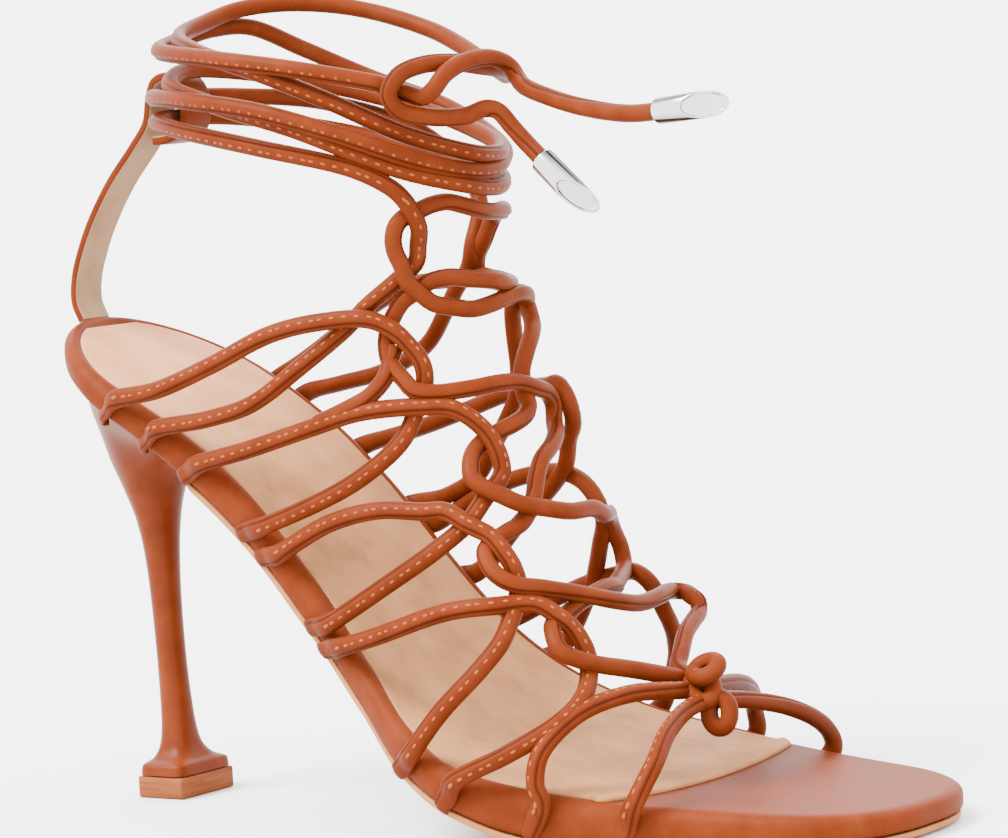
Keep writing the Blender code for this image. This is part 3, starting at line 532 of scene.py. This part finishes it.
def outward(points):
    """Way out from the middle line of the foot at each point."""
    best = np.full(len(points), np.inf)
    way = np.zeros_like(points)
    for (ax, az), (bx, bz) in zip(CORE[:-1], CORE[1:]):
        a = np.array([ax, 0, az])
        run = np.array([bx - ax, 0, bz - az])
        share = np.clip(((points - a) @ run) / (run @ run), 0, 1)
        off = points - (a + share[:, None] * run)
        far = np.linalg.norm(off, axis=1)
        nearer = far < best
        best[nearer] = far[nearer]
        way[nearer] = off[nearer]
    return way


def frames(line, out=None):
    """Tangent, outer normal and side of a line at each point."""
    along = unit(np.gradient(line, axis=0))
    out = outward(line) if out is None else out
    out = out - np.sum(out * along, axis=1)[:, None] * along
    normal = unit(out)
    return along, normal, np.cross(along, normal)


class Build:
    """Points, faces and per-face and per-point marks gathered into one mesh; the per-point marks weight the
    painted shade in the cords' seam grooves.
    """

    def __init__(self):
        self.points, self.faces, self.finish, self.marks, self.uv = [], [], [], [], []
        self.count = 0

    def add(self, points, faces, finish=0, marks=None, uv=None):
        points = np.asarray(points, float)
        self.points.append(points)
        self.faces += [tuple(int(i) + self.count for i in face) for face in faces]
        self.finish += [finish] * len(faces) if isinstance(finish, int) else list(finish)
        self.marks.append(np.zeros(len(points)) if marks is None else np.asarray(marks, float))
        self.uv.append(np.zeros((len(points), 2)) if uv is None else np.asarray(uv, float))
        self.count += len(points)

    def make(self, name, finishes, sharp=40):
        """Object of the gathered mesh, smooth but for edges sharper than so many degrees."""
        mesh = bpy.data.meshes.new(name)
        mesh.from_pydata(metres(np.vstack(self.points)).tolist(), [], self.faces)
        for finish in finishes:
            mesh.materials.append(finish)
        mesh.polygons.foreach_set("material_index", self.finish)
        # per-point weight of the painted shade in the seam groove, read by the cord material
        painted_seam_shade = mesh.attributes.new("seam", "FLOAT", "POINT")
        painted_seam_shade.data.foreach_set("value", np.concatenate(self.marks).astype(np.float32))
        layer = mesh.uv_layers.new(name="run")
        corners = np.zeros(len(mesh.loops), np.int32)
        mesh.loops.foreach_get("vertex_index", corners)
        layer.data.foreach_set("uv", np.vstack(self.uv)[corners].astype(np.float32).ravel())
        work = bmesh.new()
        work.from_mesh(mesh)
        bmesh.ops.recalc_face_normals(work, faces=work.faces)
        work.to_mesh(mesh)
        work.free()
        mesh.shade_smooth()
        mesh.set_sharp_from_angle(angle=math.radians(sharp))
        return linked(name, mesh)


def linked(name, data):
    """New object of the data in the scene."""
    thing = bpy.data.objects.new(name, data)
    bpy.context.scene.collection.objects.link(thing)
    return thing


def grid_faces(levels, count):
    """Quads between closed rings of equal count."""
    faces = []
    for a in range(levels - 1):
        for i in range(count):
            j = (i + 1) % count
            faces.append((a * count + i, a * count + j, (a + 1) * count + j, (a + 1) * count + i))
    return faces


def strip_faces(first, count):
    """Cap of a ring that runs along the near edge and back along the far one."""
    last = first + count - 1
    return [(first + i, first + i + 1, last - 1 - i, last - i) for i in range(count // 2 - 1)]


def tube_faces(levels, count):
    """Faces of a tube of rings with one flat cap at each end."""
    ends = [tuple(range(count)), tuple(range((levels - 1) * count, levels * count))]
    return grid_faces(levels, count) + ends


def slab_faces(levels, count):
    """Faces of a slab whose rings follow the sole's outline."""
    return grid_faces(levels, count) + strip_faces(0, count) + strip_faces((levels - 1) * count, count)


def ring_build(rings, faces_of):
    """Build of one form from its rings."""
    rings = np.array(rings)
    build = Build()
    build.add(rings.reshape(-1, 3), faces_of(*rings.shape[:2]))
    return build


def rounded_box(long_half, wide_half, corner, steps):
    """Outline of a rectangle with round corners, so many steps to a corner."""
    points = []
    for sx, sy, first in ((1, 1, 0), (-1, 1, 90), (-1, -1, 180), (1, -1, 270)):
        for k in range(steps + 1):
            turn = math.radians(first + 90 * k / steps)
            points.append((sx * (long_half - corner) + corner * math.cos(turn),
                           sy * (wide_half - corner) + corner * math.sin(turn)))
    return points


def near_ends(run, reach, power, ends):
    """How far each point of a line is pressed, from the shares at its two ends."""
    start = np.exp(-(run / reach) ** power) * ends[0]
    end = np.exp(-((run[-1] - run) / reach) ** power) * ends[1]
    return (start + end)[:, None]


def sweep_cord(build, line, seam, wide=1.0, flat_ends=(0.0, 0.0), out=None):
    """Round leather cord along a line with a pressed seam; seam is degrees from its outer face."""
    _, normal, side = frames(line, out)
    run = run_along(line)
    turns = RING_TURNS + math.radians(seam)
    groove = np.exp(-(RING_TURNS / GROOVE_SPREAD) ** 2)
    lip = np.exp(-((np.abs(RING_TURNS) - LIP_PLACE) / GROOVE_SPREAD) ** 2)
    reach = CORD / 2 * (1 - GROOVE_DEPTH * groove + LIP_HEIGHT * lip)
    press = near_ends(run, FLAT_REACH, 4, flat_ends)
    tip = near_ends(run, TIP_REACH, 2, flat_ends)
    thick = reach * np.cos(turns) * (1 - FLAT_THIN * press) * (1 - TIP_THIN * tip)
    broad = reach * np.sin(turns) * wide * (1 + FLAT_BROAD * press) * (1 - TIP_NARROW * tip)
    rings = line[:, None, :] + normal[:, None, :] * thick[:, :, None] + side[:, None, :] * broad[:, :, None]
    levels, count = len(line), len(RING_TURNS)
    # the groove's shape also weights the painted shade that darkens the seam
    marks = np.tile(groove, levels)
    uv = np.column_stack([np.repeat(run, count), np.tile(np.arange(count) / count, levels)])
    build.add(rings.reshape(-1, 3), tube_faces(levels, count), 0, marks, uv)


def stitch_row(build, line, turn, start=LACE_PLAIN, end=LACE_PLAIN):
    """Small thread stitches along a cord, turn degrees from its outer face."""
    along, normal, side = frames(line)
    run = run_along(line)
    angle = math.radians(turn)
    leans = [math.pi * (r + 0.5) / STITCH_RINGS for r in range(STITCH_RINGS)]
    turns = [2 * math.pi * s / STITCH_SIDES for s in range(STITCH_SIDES)]
    for place in np.arange(start, run[-1] - end, STITCH_PITCH):
        k = int(np.clip(np.searchsorted(run, place), 1, len(run) - 2))
        up = normal[k] * math.cos(angle) + side[k] * math.sin(angle)
        across = np.cross(along[k], up)
        middle = line[k] + up * (CORD / 2 - STITCH_WIDE + STITCH_PROUD)
        points = []
        for lean in leans:
            centre = middle - along[k] * math.cos(lean) * STITCH_LENGTH / 2
            taper = math.sin(lean) ** STITCH_BLUNT
            for t in turns:
                spoke = across * math.cos(t) + up * math.sin(t)
                points.append(centre + spoke * STITCH_WIDE * taper)
        build.add(points, tube_faces(STITCH_RINGS, STITCH_SIDES), SECOND)


def fine(route):
    return smooth_line(route, FINE_STEP)


def laid_foot(station, far):
    """End points of a strap: under the edge of the sole, then up the face of the band."""
    depth = (sole(station, TOP) - sole(station, UNDER)) / math.hypot(1, sole_slope(station))
    inward = np.array([0, -1.0 if far else 1.0, 0])
    return [foot(station, far, depth * share) + inward * press for share, press in FOOT_REST]


def tucked(rows, far=False, both_feet=False):
    """Route of a strap with its feet laid flat on the band and turned in under its edge."""
    route = strap_route(rows, far, both_feet)
    ends = len(FOOT_DROPS)
    route = laid_foot(rows[0][0], far) + route[ends:]
    if both_feet:
        route = route[:-ends] + laid_foot(rows[-1][0], far)[::-1]
    return route


# node materials

def new_material(name):
    made = bpy.data.materials.new(name)
    made.use_nodes = True
    return made, made.node_tree, made.node_tree.nodes["Principled BSDF"]


def set_inputs(node, **values):
    """Set sockets by name, an underscore standing for a space."""
    for key, value in values.items():
        node.inputs[key.replace("_", " ")].default_value = value


def add_node(tree, kind, **values):
    """New node; in_ before a name sets a socket, any other name a setting."""
    node = tree.nodes.new(kind)
    for key, value in values.items():
        if key.startswith("in_"):
            set_inputs(node, **{key[3:]: value})
        else:
            setattr(node, key, value)
    return node


def object_place(tree):
    return add_node(tree, "ShaderNodeTexCoord").outputs["Object"]


def stretched(tree, source, scale):
    node = add_node(tree, "ShaderNodeMapping", in_Scale=scale)
    tree.links.new(source, node.inputs["Vector"])
    return node.outputs["Vector"]


def noise(tree, source, scale, detail=3.0, rough=0.55):
    node = add_node(tree, "ShaderNodeTexNoise", in_Scale=scale, in_Detail=detail, in_Roughness=rough)
    tree.links.new(source, node.inputs["Vector"])
    return node.outputs["Fac"]


def ramp(tree, fac, stops):
    node = tree.nodes.new("ShaderNodeValToRGB")
    while len(node.color_ramp.elements) < len(stops):
        node.color_ramp.elements.new(0.5)
    for element, (place, colour) in zip(node.color_ramp.elements, stops):
        element.position = place
        element.color = (*colour, 1)
    tree.links.new(fac, node.inputs["Fac"])
    return node.outputs["Color"]


def mapped(tree, value, **values):
    """Value carried from one range to another."""
    node = add_node(tree, "ShaderNodeMapRange", **values)
    tree.links.new(value, node.inputs["Value"])
    return node.outputs["Result"]


def part_of(tree, vector, axis):
    node = add_node(tree, "ShaderNodeSeparateXYZ")
    tree.links.new(vector, node.inputs[0])
    return node.outputs[axis]


def mix(tree, fac, a, b):
    """Colour a turning into b with fac; either may be a fixed colour."""
    node = add_node(tree, "ShaderNodeMix", data_type="RGBA")
    tree.links.new(fac, node.inputs["Factor"])
    for value, place in ((a, 6), (b, 7)):
        if isinstance(value, tuple):
            node.inputs[place].default_value = (*value, 1)
        else:
            tree.links.new(value, node.inputs[place])
    return node.outputs[2]


def scaled(tree, value, share):
    node = add_node(tree, "ShaderNodeMath", operation="MULTIPLY")
    tree.links.new(value, node.inputs[0])
    node.inputs[1].default_value = share
    return node.outputs[0]


def added(tree, a, b):
    node = add_node(tree, "ShaderNodeMath", operation="ADD")
    tree.links.new(a, node.inputs[0])
    tree.links.new(b, node.inputs[1])
    return node.outputs[0]


def bump(tree, shader, height, strength, distance=0.0002):
    node = add_node(tree, "ShaderNodeBump", in_Strength=strength, in_Distance=distance)
    tree.links.new(height, node.inputs["Height"])
    tree.links.new(node.outputs["Normal"], shader.inputs["Normal"])


def leather_material(name, seam, rough, coat, shine, grain):
    """Satin cognac leather with a fine grain and soft blotches, and on cords a pressed seam darkened by
    painted shade.
    """
    made, tree, shader = new_material(name)
    place = object_place(tree)
    blotch = noise(tree, place, scale=140, detail=4)
    colour = ramp(tree, blotch, LEATHER_TONES)
    pores = noise(tree, place, scale=2600, detail=2)
    if seam:
        run = add_node(tree, "ShaderNodeUVMap", uv_map="run").outputs["UV"]
        streak = noise(tree, stretched(tree, run, (0.22, 9, 1)), scale=1.0)
        colour = mix(tree, scaled(tree, streak, 0.5), colour, LEATHER_DEEP)
        # painted shade: the seam groove's colour pulled towards a near-black brown
        painted_seam_shade = add_node(tree, "ShaderNodeAttribute", attribute_name="seam").outputs["Fac"]
        colour = mix(tree, scaled(tree, painted_seam_shade, 0.75), colour, SEAM_PAINTED_SHADE)
        relief = scaled(tree, streak, 0.9)
    else:
        relief = scaled(tree, noise(tree, place, scale=500), 0.8)
    tree.links.new(colour, shader.inputs["Base Color"])
    gloss = mapped(tree, blotch, in_To_Min=rough - 0.07, in_To_Max=rough + 0.1)
    tree.links.new(gloss, shader.inputs["Roughness"])
    set_inputs(shader, Specular_IOR_Level=shine, Coat_Weight=coat, Coat_Roughness=0.3)
    bump(tree, shader, added(tree, pores, relief), grain)
    return made


def thread_material():
    made, tree, shader = new_material("thread")
    place = object_place(tree)
    colour = ramp(tree, noise(tree, place, scale=900, detail=2), THREAD_TONES)
    tree.links.new(colour, shader.inputs["Base Color"])
    set_inputs(shader, Specular_IOR_Level=MATT_SHINE, Roughness=0.6)
    bump(tree, shader, noise(tree, place, scale=4000, detail=2), strength=0.3, distance=0.0001)
    return made


def sock_material():
    """Matt mottled footbed, lighter at the heel."""
    made, tree, shader = new_material("footbed_leather")
    place = object_place(tree)
    blotch = noise(tree, place, scale=75, detail=5, rough=0.6)
    forward = mapped(tree, part_of(tree, place, "X"), interpolation_type="SMOOTHSTEP",
                     in_From_Min=SOCK_FADE[0], in_From_Max=SOCK_FADE[1])
    colour = mix(tree, forward, ramp(tree, blotch, SOCK_WARM), ramp(tree, blotch, SOCK_COOL))
    tree.links.new(colour, shader.inputs["Base Color"])
    set_inputs(shader, Specular_IOR_Level=MATT_SHINE, Roughness=0.72)
    coarse = scaled(tree, noise(tree, place, scale=420), 0.6)
    bump(tree, shader, added(tree, noise(tree, place, scale=1800), coarse), strength=0.3)
    return made


def tan_material(name, dark, light, layers=0.0, rough=0.6):
    """Pale leather or stacked-lift tan, with fine layers where asked."""
    made, tree, shader = new_material(name)
    place = object_place(tree)
    streak = noise(tree, stretched(tree, place, (90, 90, 90 + layers)), scale=1.0, detail=5, rough=0.6)
    tree.links.new(ramp(tree, streak, ((0.3, dark), (0.7, light))), shader.inputs["Base Color"])
    set_inputs(shader, Specular_IOR_Level=MATT_SHINE, Roughness=rough)
    bump(tree, shader, noise(tree, place, scale=1500), strength=0.25)
    return made


def chrome_material():
    """Polished metal with a painted reflection: light and dark bands of a studio painted into its colour by
    how far the surface faces up.
    """
    made, tree, shader = new_material("chrome")
    facing = add_node(tree, "ShaderNodeNewGeometry").outputs["Normal"]
    level = mapped(tree, part_of(tree, facing, "Z"), in_From_Min=-1.0)
    painted_reflection_bands = [(place, (grey, grey, grey)) for place, grey in CHROME_PAINTED_REFLECTION]
    tree.links.new(ramp(tree, level, painted_reflection_bands), shader.inputs["Base Color"])
    set_inputs(shader, Metallic=1.0, Roughness=0.14)
    bump(tree, shader, noise(tree, object_place(tree), scale=900, detail=2), strength=0.04, distance=0.0001)
    return made


# pieces

def dress(piece, slot, *nodes):
    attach(piece, "root")
    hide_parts(*nodes)
    return piece


def edge_ring(xs, inset, height):
    near, far = outline(xs, inset)
    return [(x, y, height(x)) for x, y in [*near, *far[::-1]]]


def build_band(leather):
    """Wrapped board: low rim round the footbed, rounded side band, plain leather at the toe."""
    xs = edge_stations()

    def rim(x):
        fade = min(1.0, max(0.0, (SOCK_SIDE - x) / RIM_FADE))
        return RIM_HEIGHT * fade * fade * (3 - 2 * fade)

    def level(share, raised):
        return lambda x: sole(x, TOP) + (board_under(x) - sole(x, TOP)) * share + rim(x) * raised

    rings = [edge_ring(xs, inset, level(share, raised)) for inset, share, raised in BAND_PROFILE]
    dress(ring_build(rings, slab_faces).make("side_band", [leather]), "leather", "board")


def build_tread(tan):
    """Thin sole from the heel's breast to the toe, its edges eased."""
    xs = [x for x in edge_stations() if x > BREAST + 1]
    rings = [edge_ring(xs, inset, lambda x, r=rise: sole(x, UNDER) + r) for inset, rise in TREAD_LOW]
    rings += [edge_ring(xs, inset, lambda x, d=drop: board_under(x) - GAP - d)
              for inset, drop in TREAD_HIGH]
    dress(ring_build(rings, slab_faces).make("tread_sole", [tan]), "outsole", "outsole")


def build_footbed(finish):
    """Sock with a rolled edge and a bowed front, set inside the rim."""
    between = [x for x in edge_stations() if BACK + 2 < x < SOCK_SIDE - 1]
    xs = [BACK + SOCK_BACK, *between, SOCK_SIDE]
    bow = SOCK_FRONT - SOCK_SIDE
    rings = []
    for inset, rise in SOCK_RINGS:
        front = SOCK_FRONT - (inset - SOCK_INSET)
        halves = []
        for side in outline(xs, inset):
            bowed = [(front - bow * share ** 2, side[-1][1] * share) for share in BOW_SHARES]
            halves.append([*side, *bowed])
        rings.append([(x, y, sole(x, TOP) + rise) for x, y in [*halves[0], *halves[1][::-1]]])
    dress(ring_build(rings, slab_faces).make("footbed", [finish], sharp=60), "sock", "sock")


def refine_rows(rows, per):
    """More rings between table rings, each coordinate on an even curve."""
    rows = np.array(rows)
    slope = np.diff(rows, axis=0)
    tangent = np.zeros_like(rows)
    both = slope[:-1] * slope[1:]
    safe = np.where(np.abs(slope[:-1] + slope[1:]) < 1e-9, 1.0, slope[:-1] + slope[1:])
    tangent[1:-1] = np.where(both > 0, 2 * both / safe, 0.0)
    tangent[0], tangent[-1] = slope[0], slope[-1]
    made = []
    for value in np.linspace(0, len(rows) - 1, (len(rows) - 1) * per + 1):
        i = min(int(value), len(rows) - 2)
        made.append(blend(rows[i], rows[i + 1], tangent[i], tangent[i + 1], value - i))
    return made


def build_heel(leather):
    """Slim stem whose top rows follow the slope of the seat."""
    rings = []
    for row, (height, middle, long_half, wide_half, power, tilt) in enumerate(HEEL):
        share = 2 / power
        ring = []
        for k in range(HEEL_SIDES):
            turn = 2 * math.pi * (k + 0.5) / HEEL_SIDES
            x = middle + long_half * math.copysign(abs(math.cos(turn)) ** share, math.cos(turn))
            y = wide_half * math.copysign(abs(math.sin(turn)) ** share, math.sin(turn))
            if tilt == 1.0:
                z = board_under(x) - GAP - SEAT_STEP * (len(HEEL) - 1 - row)
            else:
                z = height + tilt * sole_slope(middle) * (x - middle)
            ring.append((x, y, z))
        rings.append(ring)
    stem = ring_build(refine_rows(rings, HEEL_BETWEEN), tube_faces)
    dress(stem.make("heel_stem", [leather], sharp=50), "leather", "heel")


def build_lift(finish):
    """Squared block under the heel, its edges eased."""
    length, width, height = LIFT
    middle = HEEL[0][1]
    levels = [*LIFT_LOW, *((height + drop, inset) for drop, inset in LIFT_HIGH)]
    rings = []
    for level, inset in levels:
        box = rounded_box(length / 2 - inset, width / 2 - inset, LIFT_CORNER, 6)
        rings.append([(middle + x, y, level) for x, y in box])
    dress(ring_build(rings, tube_faces).make("heel_tip", [finish]), "top_lift", "top_lift")


def lace_lines():
    """Each lace as one line from its collar strap to its metal tip, with the indices of its stretches."""
    made = []
    near, far = collar_routes()
    for route, rows, side, wound, tied, leave, loose in (
            (near, NEAR_COLLAR, False, WOUND_P, KNOT_P, KNOT_P[LEAVE_P], END_SHORT),
            (far, FAR_COLLAR, True, WOUND_Q, KNOT_Q, KNOT_Q[LEAVE_Q], END_LONG)):
        around = [on_ankle(*row) for row in wound + tied[1:]]
        ends = [np.array(point) for point in loose]
        line = fine(laid_foot(rows[0][0], side) + route[len(FOOT_DROPS):] + around + ends)
        marks = [int(np.argmin(np.linalg.norm(line - on_ankle(*row), axis=1)))
                 for row in (wound[0], tied[0], leave)]
        made.append((line, *marks))
    return made


def build_net(laces, cord_leather, thread):
    """Side loops, toe straps, collar straps, criss-cross lace and toe knot."""
    for name, loops, far in (("outer_loops", NEAR_LOOPS, False), ("inner_loops", FAR_LOOPS, True)):
        lean = -1 if far else 1
        build = Build()
        for rows in loops:
            line = fine(tucked(rows, far, both_feet=True))
            sweep_cord(build, line, STRAP_SEAM * lean, STRAP_BROAD, (1, 1))
            stitch_row(build, line, STITCH_TURN * lean, LOOP_PLAIN, LOOP_PLAIN)
        if not far:
            sweep_cord(build, fine([on_last(*row) for row in CATCH]), STRAP_SEAM)
        dress(build.make(name, [cord_leather, thread]), "leather", "strap_net")

    toe = Build()
    for near_rows, far_rows in TOE_STRAPS:
        line = fine(tucked(near_rows) + tucked(far_rows, far=True)[::-1])
        sweep_cord(toe, line, STRAP_SEAM, STRAP_BROAD, (1, 1))
        stitch_row(toe, line, STITCH_TURN, STRAP_PLAIN, STRAP_PLAIN)
    dress(toe.make("toe_straps", [cord_leather, thread]), "leather", "strap_net")

    collar = Build()
    for line, joint, _, _ in laces:
        sweep_cord(collar, line[:joint + 2], STRAP_SEAM, flat_ends=(1, 0))
        stitch_row(collar, line[:joint], STITCH_TURN, STRAP_PLAIN, 0)
    dress(collar.make("collar_straps", [cord_leather, thread]), "leather", "strap_net")

    knot = on_last(*TOE_KNOT)
    lacing = Build()
    sweep_cord(lacing, fine(lace_route(knot)), CROSS_SEAM)
    dress(lacing.make("criss_cross_lace", [cord_leather]), "leather", "strap_net")

    tied = Build()
    round_x, round_y = np.cos(KNOT_SWEEP), np.sin(KNOT_SWEEP)
    for shift, (long, deep, tall), lean in KNOT_TURNS:
        ring = np.column_stack([long * round_x, deep * round_y, tall * round_y + lean * round_x])
        sweep_cord(tied, knot + np.array(shift) + ring, HIDDEN_SEAM, out=ring)
    dress(tied.make("toe_knot", [cord_leather]), "leather", "strap_net")


def build_heel_strap(leather, lining):
    """Flat strap with rounded edges, lined inside, folded into the lace keeper."""
    line = smooth_line([(x, 0, z) for x, z in STRAP_LINE], STRAP_STEP)
    along = unit(np.gradient(line, axis=0))
    out = np.column_stack([along[:, 2], np.zeros(len(line)), -along[:, 0]])
    half = STRAP_THICK / 2
    profile = rounded_box(half, STRAP_WIDTH / 2, STRAP_EDGE, 4)
    lined = [SECOND if min(a, b) > half - LINING_DEPTH else 0
             for (a, _), (b, _) in zip(profile, profile[1:] + profile[:1])]
    points = [p + o * a + np.array([0, b, 0]) for p, o in zip(line, out) for a, b in profile]
    build = Build()
    build.add(points, tube_faces(len(line), len(profile)), lined * (len(line) - 1) + [0, 0])
    dress(build.make("back_strap", [leather, lining], sharp=50), "leather", "heel_strap")


def build_lace(laces, cord_leather, thread, chrome):
    """Lace wound round the ankle, its knot and its two free ends with metal tips."""
    wound = Build()
    for (line, joint, tie, _), turn in zip(laces, (STITCH_TURN, -STITCH_TURN)):
        sweep_cord(wound, line[joint:tie + 2], STRAP_SEAM)
        stitch_row(wound, line[joint:tie], turn)
    dress(wound.make("ankle_winding", [cord_leather, thread]), "leather", "ankle_lace")

    knot = Build()
    for line, _, tie, leave in laces:
        stretch = line[tie:leave + 2]
        sweep_cord(knot, stretch, KNOT_SEAM, out=stretch - KNOT_MIDDLE)
    dress(knot.make("lace_bow", [cord_leather]), "leather", "lace_knot")

    for name, (lace, _, _, leave) in zip(("short", "long"), laces):
        line = lace[leave:]
        end = Build()
        sweep_cord(end, line, KNOT_SEAM, out=line - KNOT_MIDDLE)
        piece = dress(end.make("free_end_" + name, [cord_leather]), "leather", "lace_end_" + name)
        tip = build_tip(name, line[-1], line[-1] - line[-4], chrome)


def build_tip(name, start, way, chrome):
    """Metal tip: a thin tube cut on the slant, with its mouth set in."""
    way = unit(np.array(way))
    side = unit(np.cross(way, (0, 0, 1)))
    up = np.cross(side, way)
    cut = AGLET_LENGTH - TIP_SLANT
    rows = [(run, 0, radius) for run, radius in TIP_FOOT]
    rows += [(cut + run, TIP_SLANT, radius) for run, radius in TIP_MOUTH]
    rings = []
    for run, lean, radius in rows:
        ring = []
        for t in np.linspace(0, 2 * math.pi, TIP_SIDES, endpoint=False):
            spoke = side * math.cos(t) + up * math.sin(t)
            ring.append(start + way * (run - lean * math.cos(t)) + spoke * radius)
        rings.append(ring)
    made = ring_build(rings, tube_faces).make("metal_tip_" + name, [chrome], sharp=35)
    return dress(made, "metal_tip", "aglet_" + name)


def matrix(right, up, forward, place):
    """Matrix of a lamp or camera that looks forward from a place."""
    backward = -np.array(forward)
    return Matrix([*zip(right, up, backward, place), (0, 0, 0, 1)])


def build_stage():
    """Pale floor, soft lights and the camera of the photo."""
    mesh = bpy.data.meshes.new("floor")
    corners = [(x * FLOOR_REACH, y * FLOOR_REACH, 0) for x, y in ((-1, -1), (1, -1), (1, 1), (-1, 1))]
    mesh.from_pydata(corners, [], [(0, 1, 2, 3)])
    floor = linked("floor", mesh)
    made, _, shader = new_material("pale_floor")
    set_inputs(shader, Base_Color=FLOOR_GREY, Roughness=0.9, Specular_IOR_Level=0.1)
    mesh.materials.append(made)

    world = bpy.data.worlds.new("studio")
    bpy.context.scene.world = world
    world.use_nodes = True
    set_inputs(world.node_tree.nodes["Background"], Color=(1, 1, 1, 1), Strength=SKY_LIGHT)

    for name, place, power, spread in LAMPS:
        lamp = bpy.data.lights.new(name, "SUN")
        lamp.energy = power
        lamp.angle = math.radians(spread)
        forward = unit(np.array(LAMP_AIM) - np.array(place))
        right = unit(np.cross(forward, (0, 0, 1)))
        linked(name, lamp).matrix_world = matrix(right, np.cross(right, forward), forward, place)

    lens = bpy.data.cameras.new("photo_view")
    lens.sensor_width = SENSOR
    lens.lens = LENS
    lens.clip_start = 0.05
    lens.clip_end = 200
    camera = linked("photo_view", lens)
    camera.matrix_world = matrix(*CAMERA_AXES, metres(CAMERA_PLACE))
    bpy.context.scene.camera = camera


cord_leather = leather_material("cord_leather", True, rough=0.42, coat=0.008, shine=0.02, grain=0.25)
band_leather = leather_material("band_leather", False, rough=0.5, coat=0.0, shine=0.025, grain=0.18)
heel_leather = leather_material("heel_leather", False, rough=0.32, coat=0.02, shine=0.035, grain=0.12)
thread = thread_material()
laces = lace_lines()

build_stage()
build_lace(laces, cord_leather, thread, chrome_material())
build_band(band_leather)
build_tread(tan_material("tread_tan", *TREAD_TAN))
build_footbed(sock_material())
build_heel(heel_leather)
build_lift(tan_material("lift_tan", *LIFT_TAN, LIFT_LAYERS))
build_net(laces, cord_leather, thread)
build_heel_strap(cord_leather, tan_material("strap_lining", *LINING_TAN, rough=0.75))
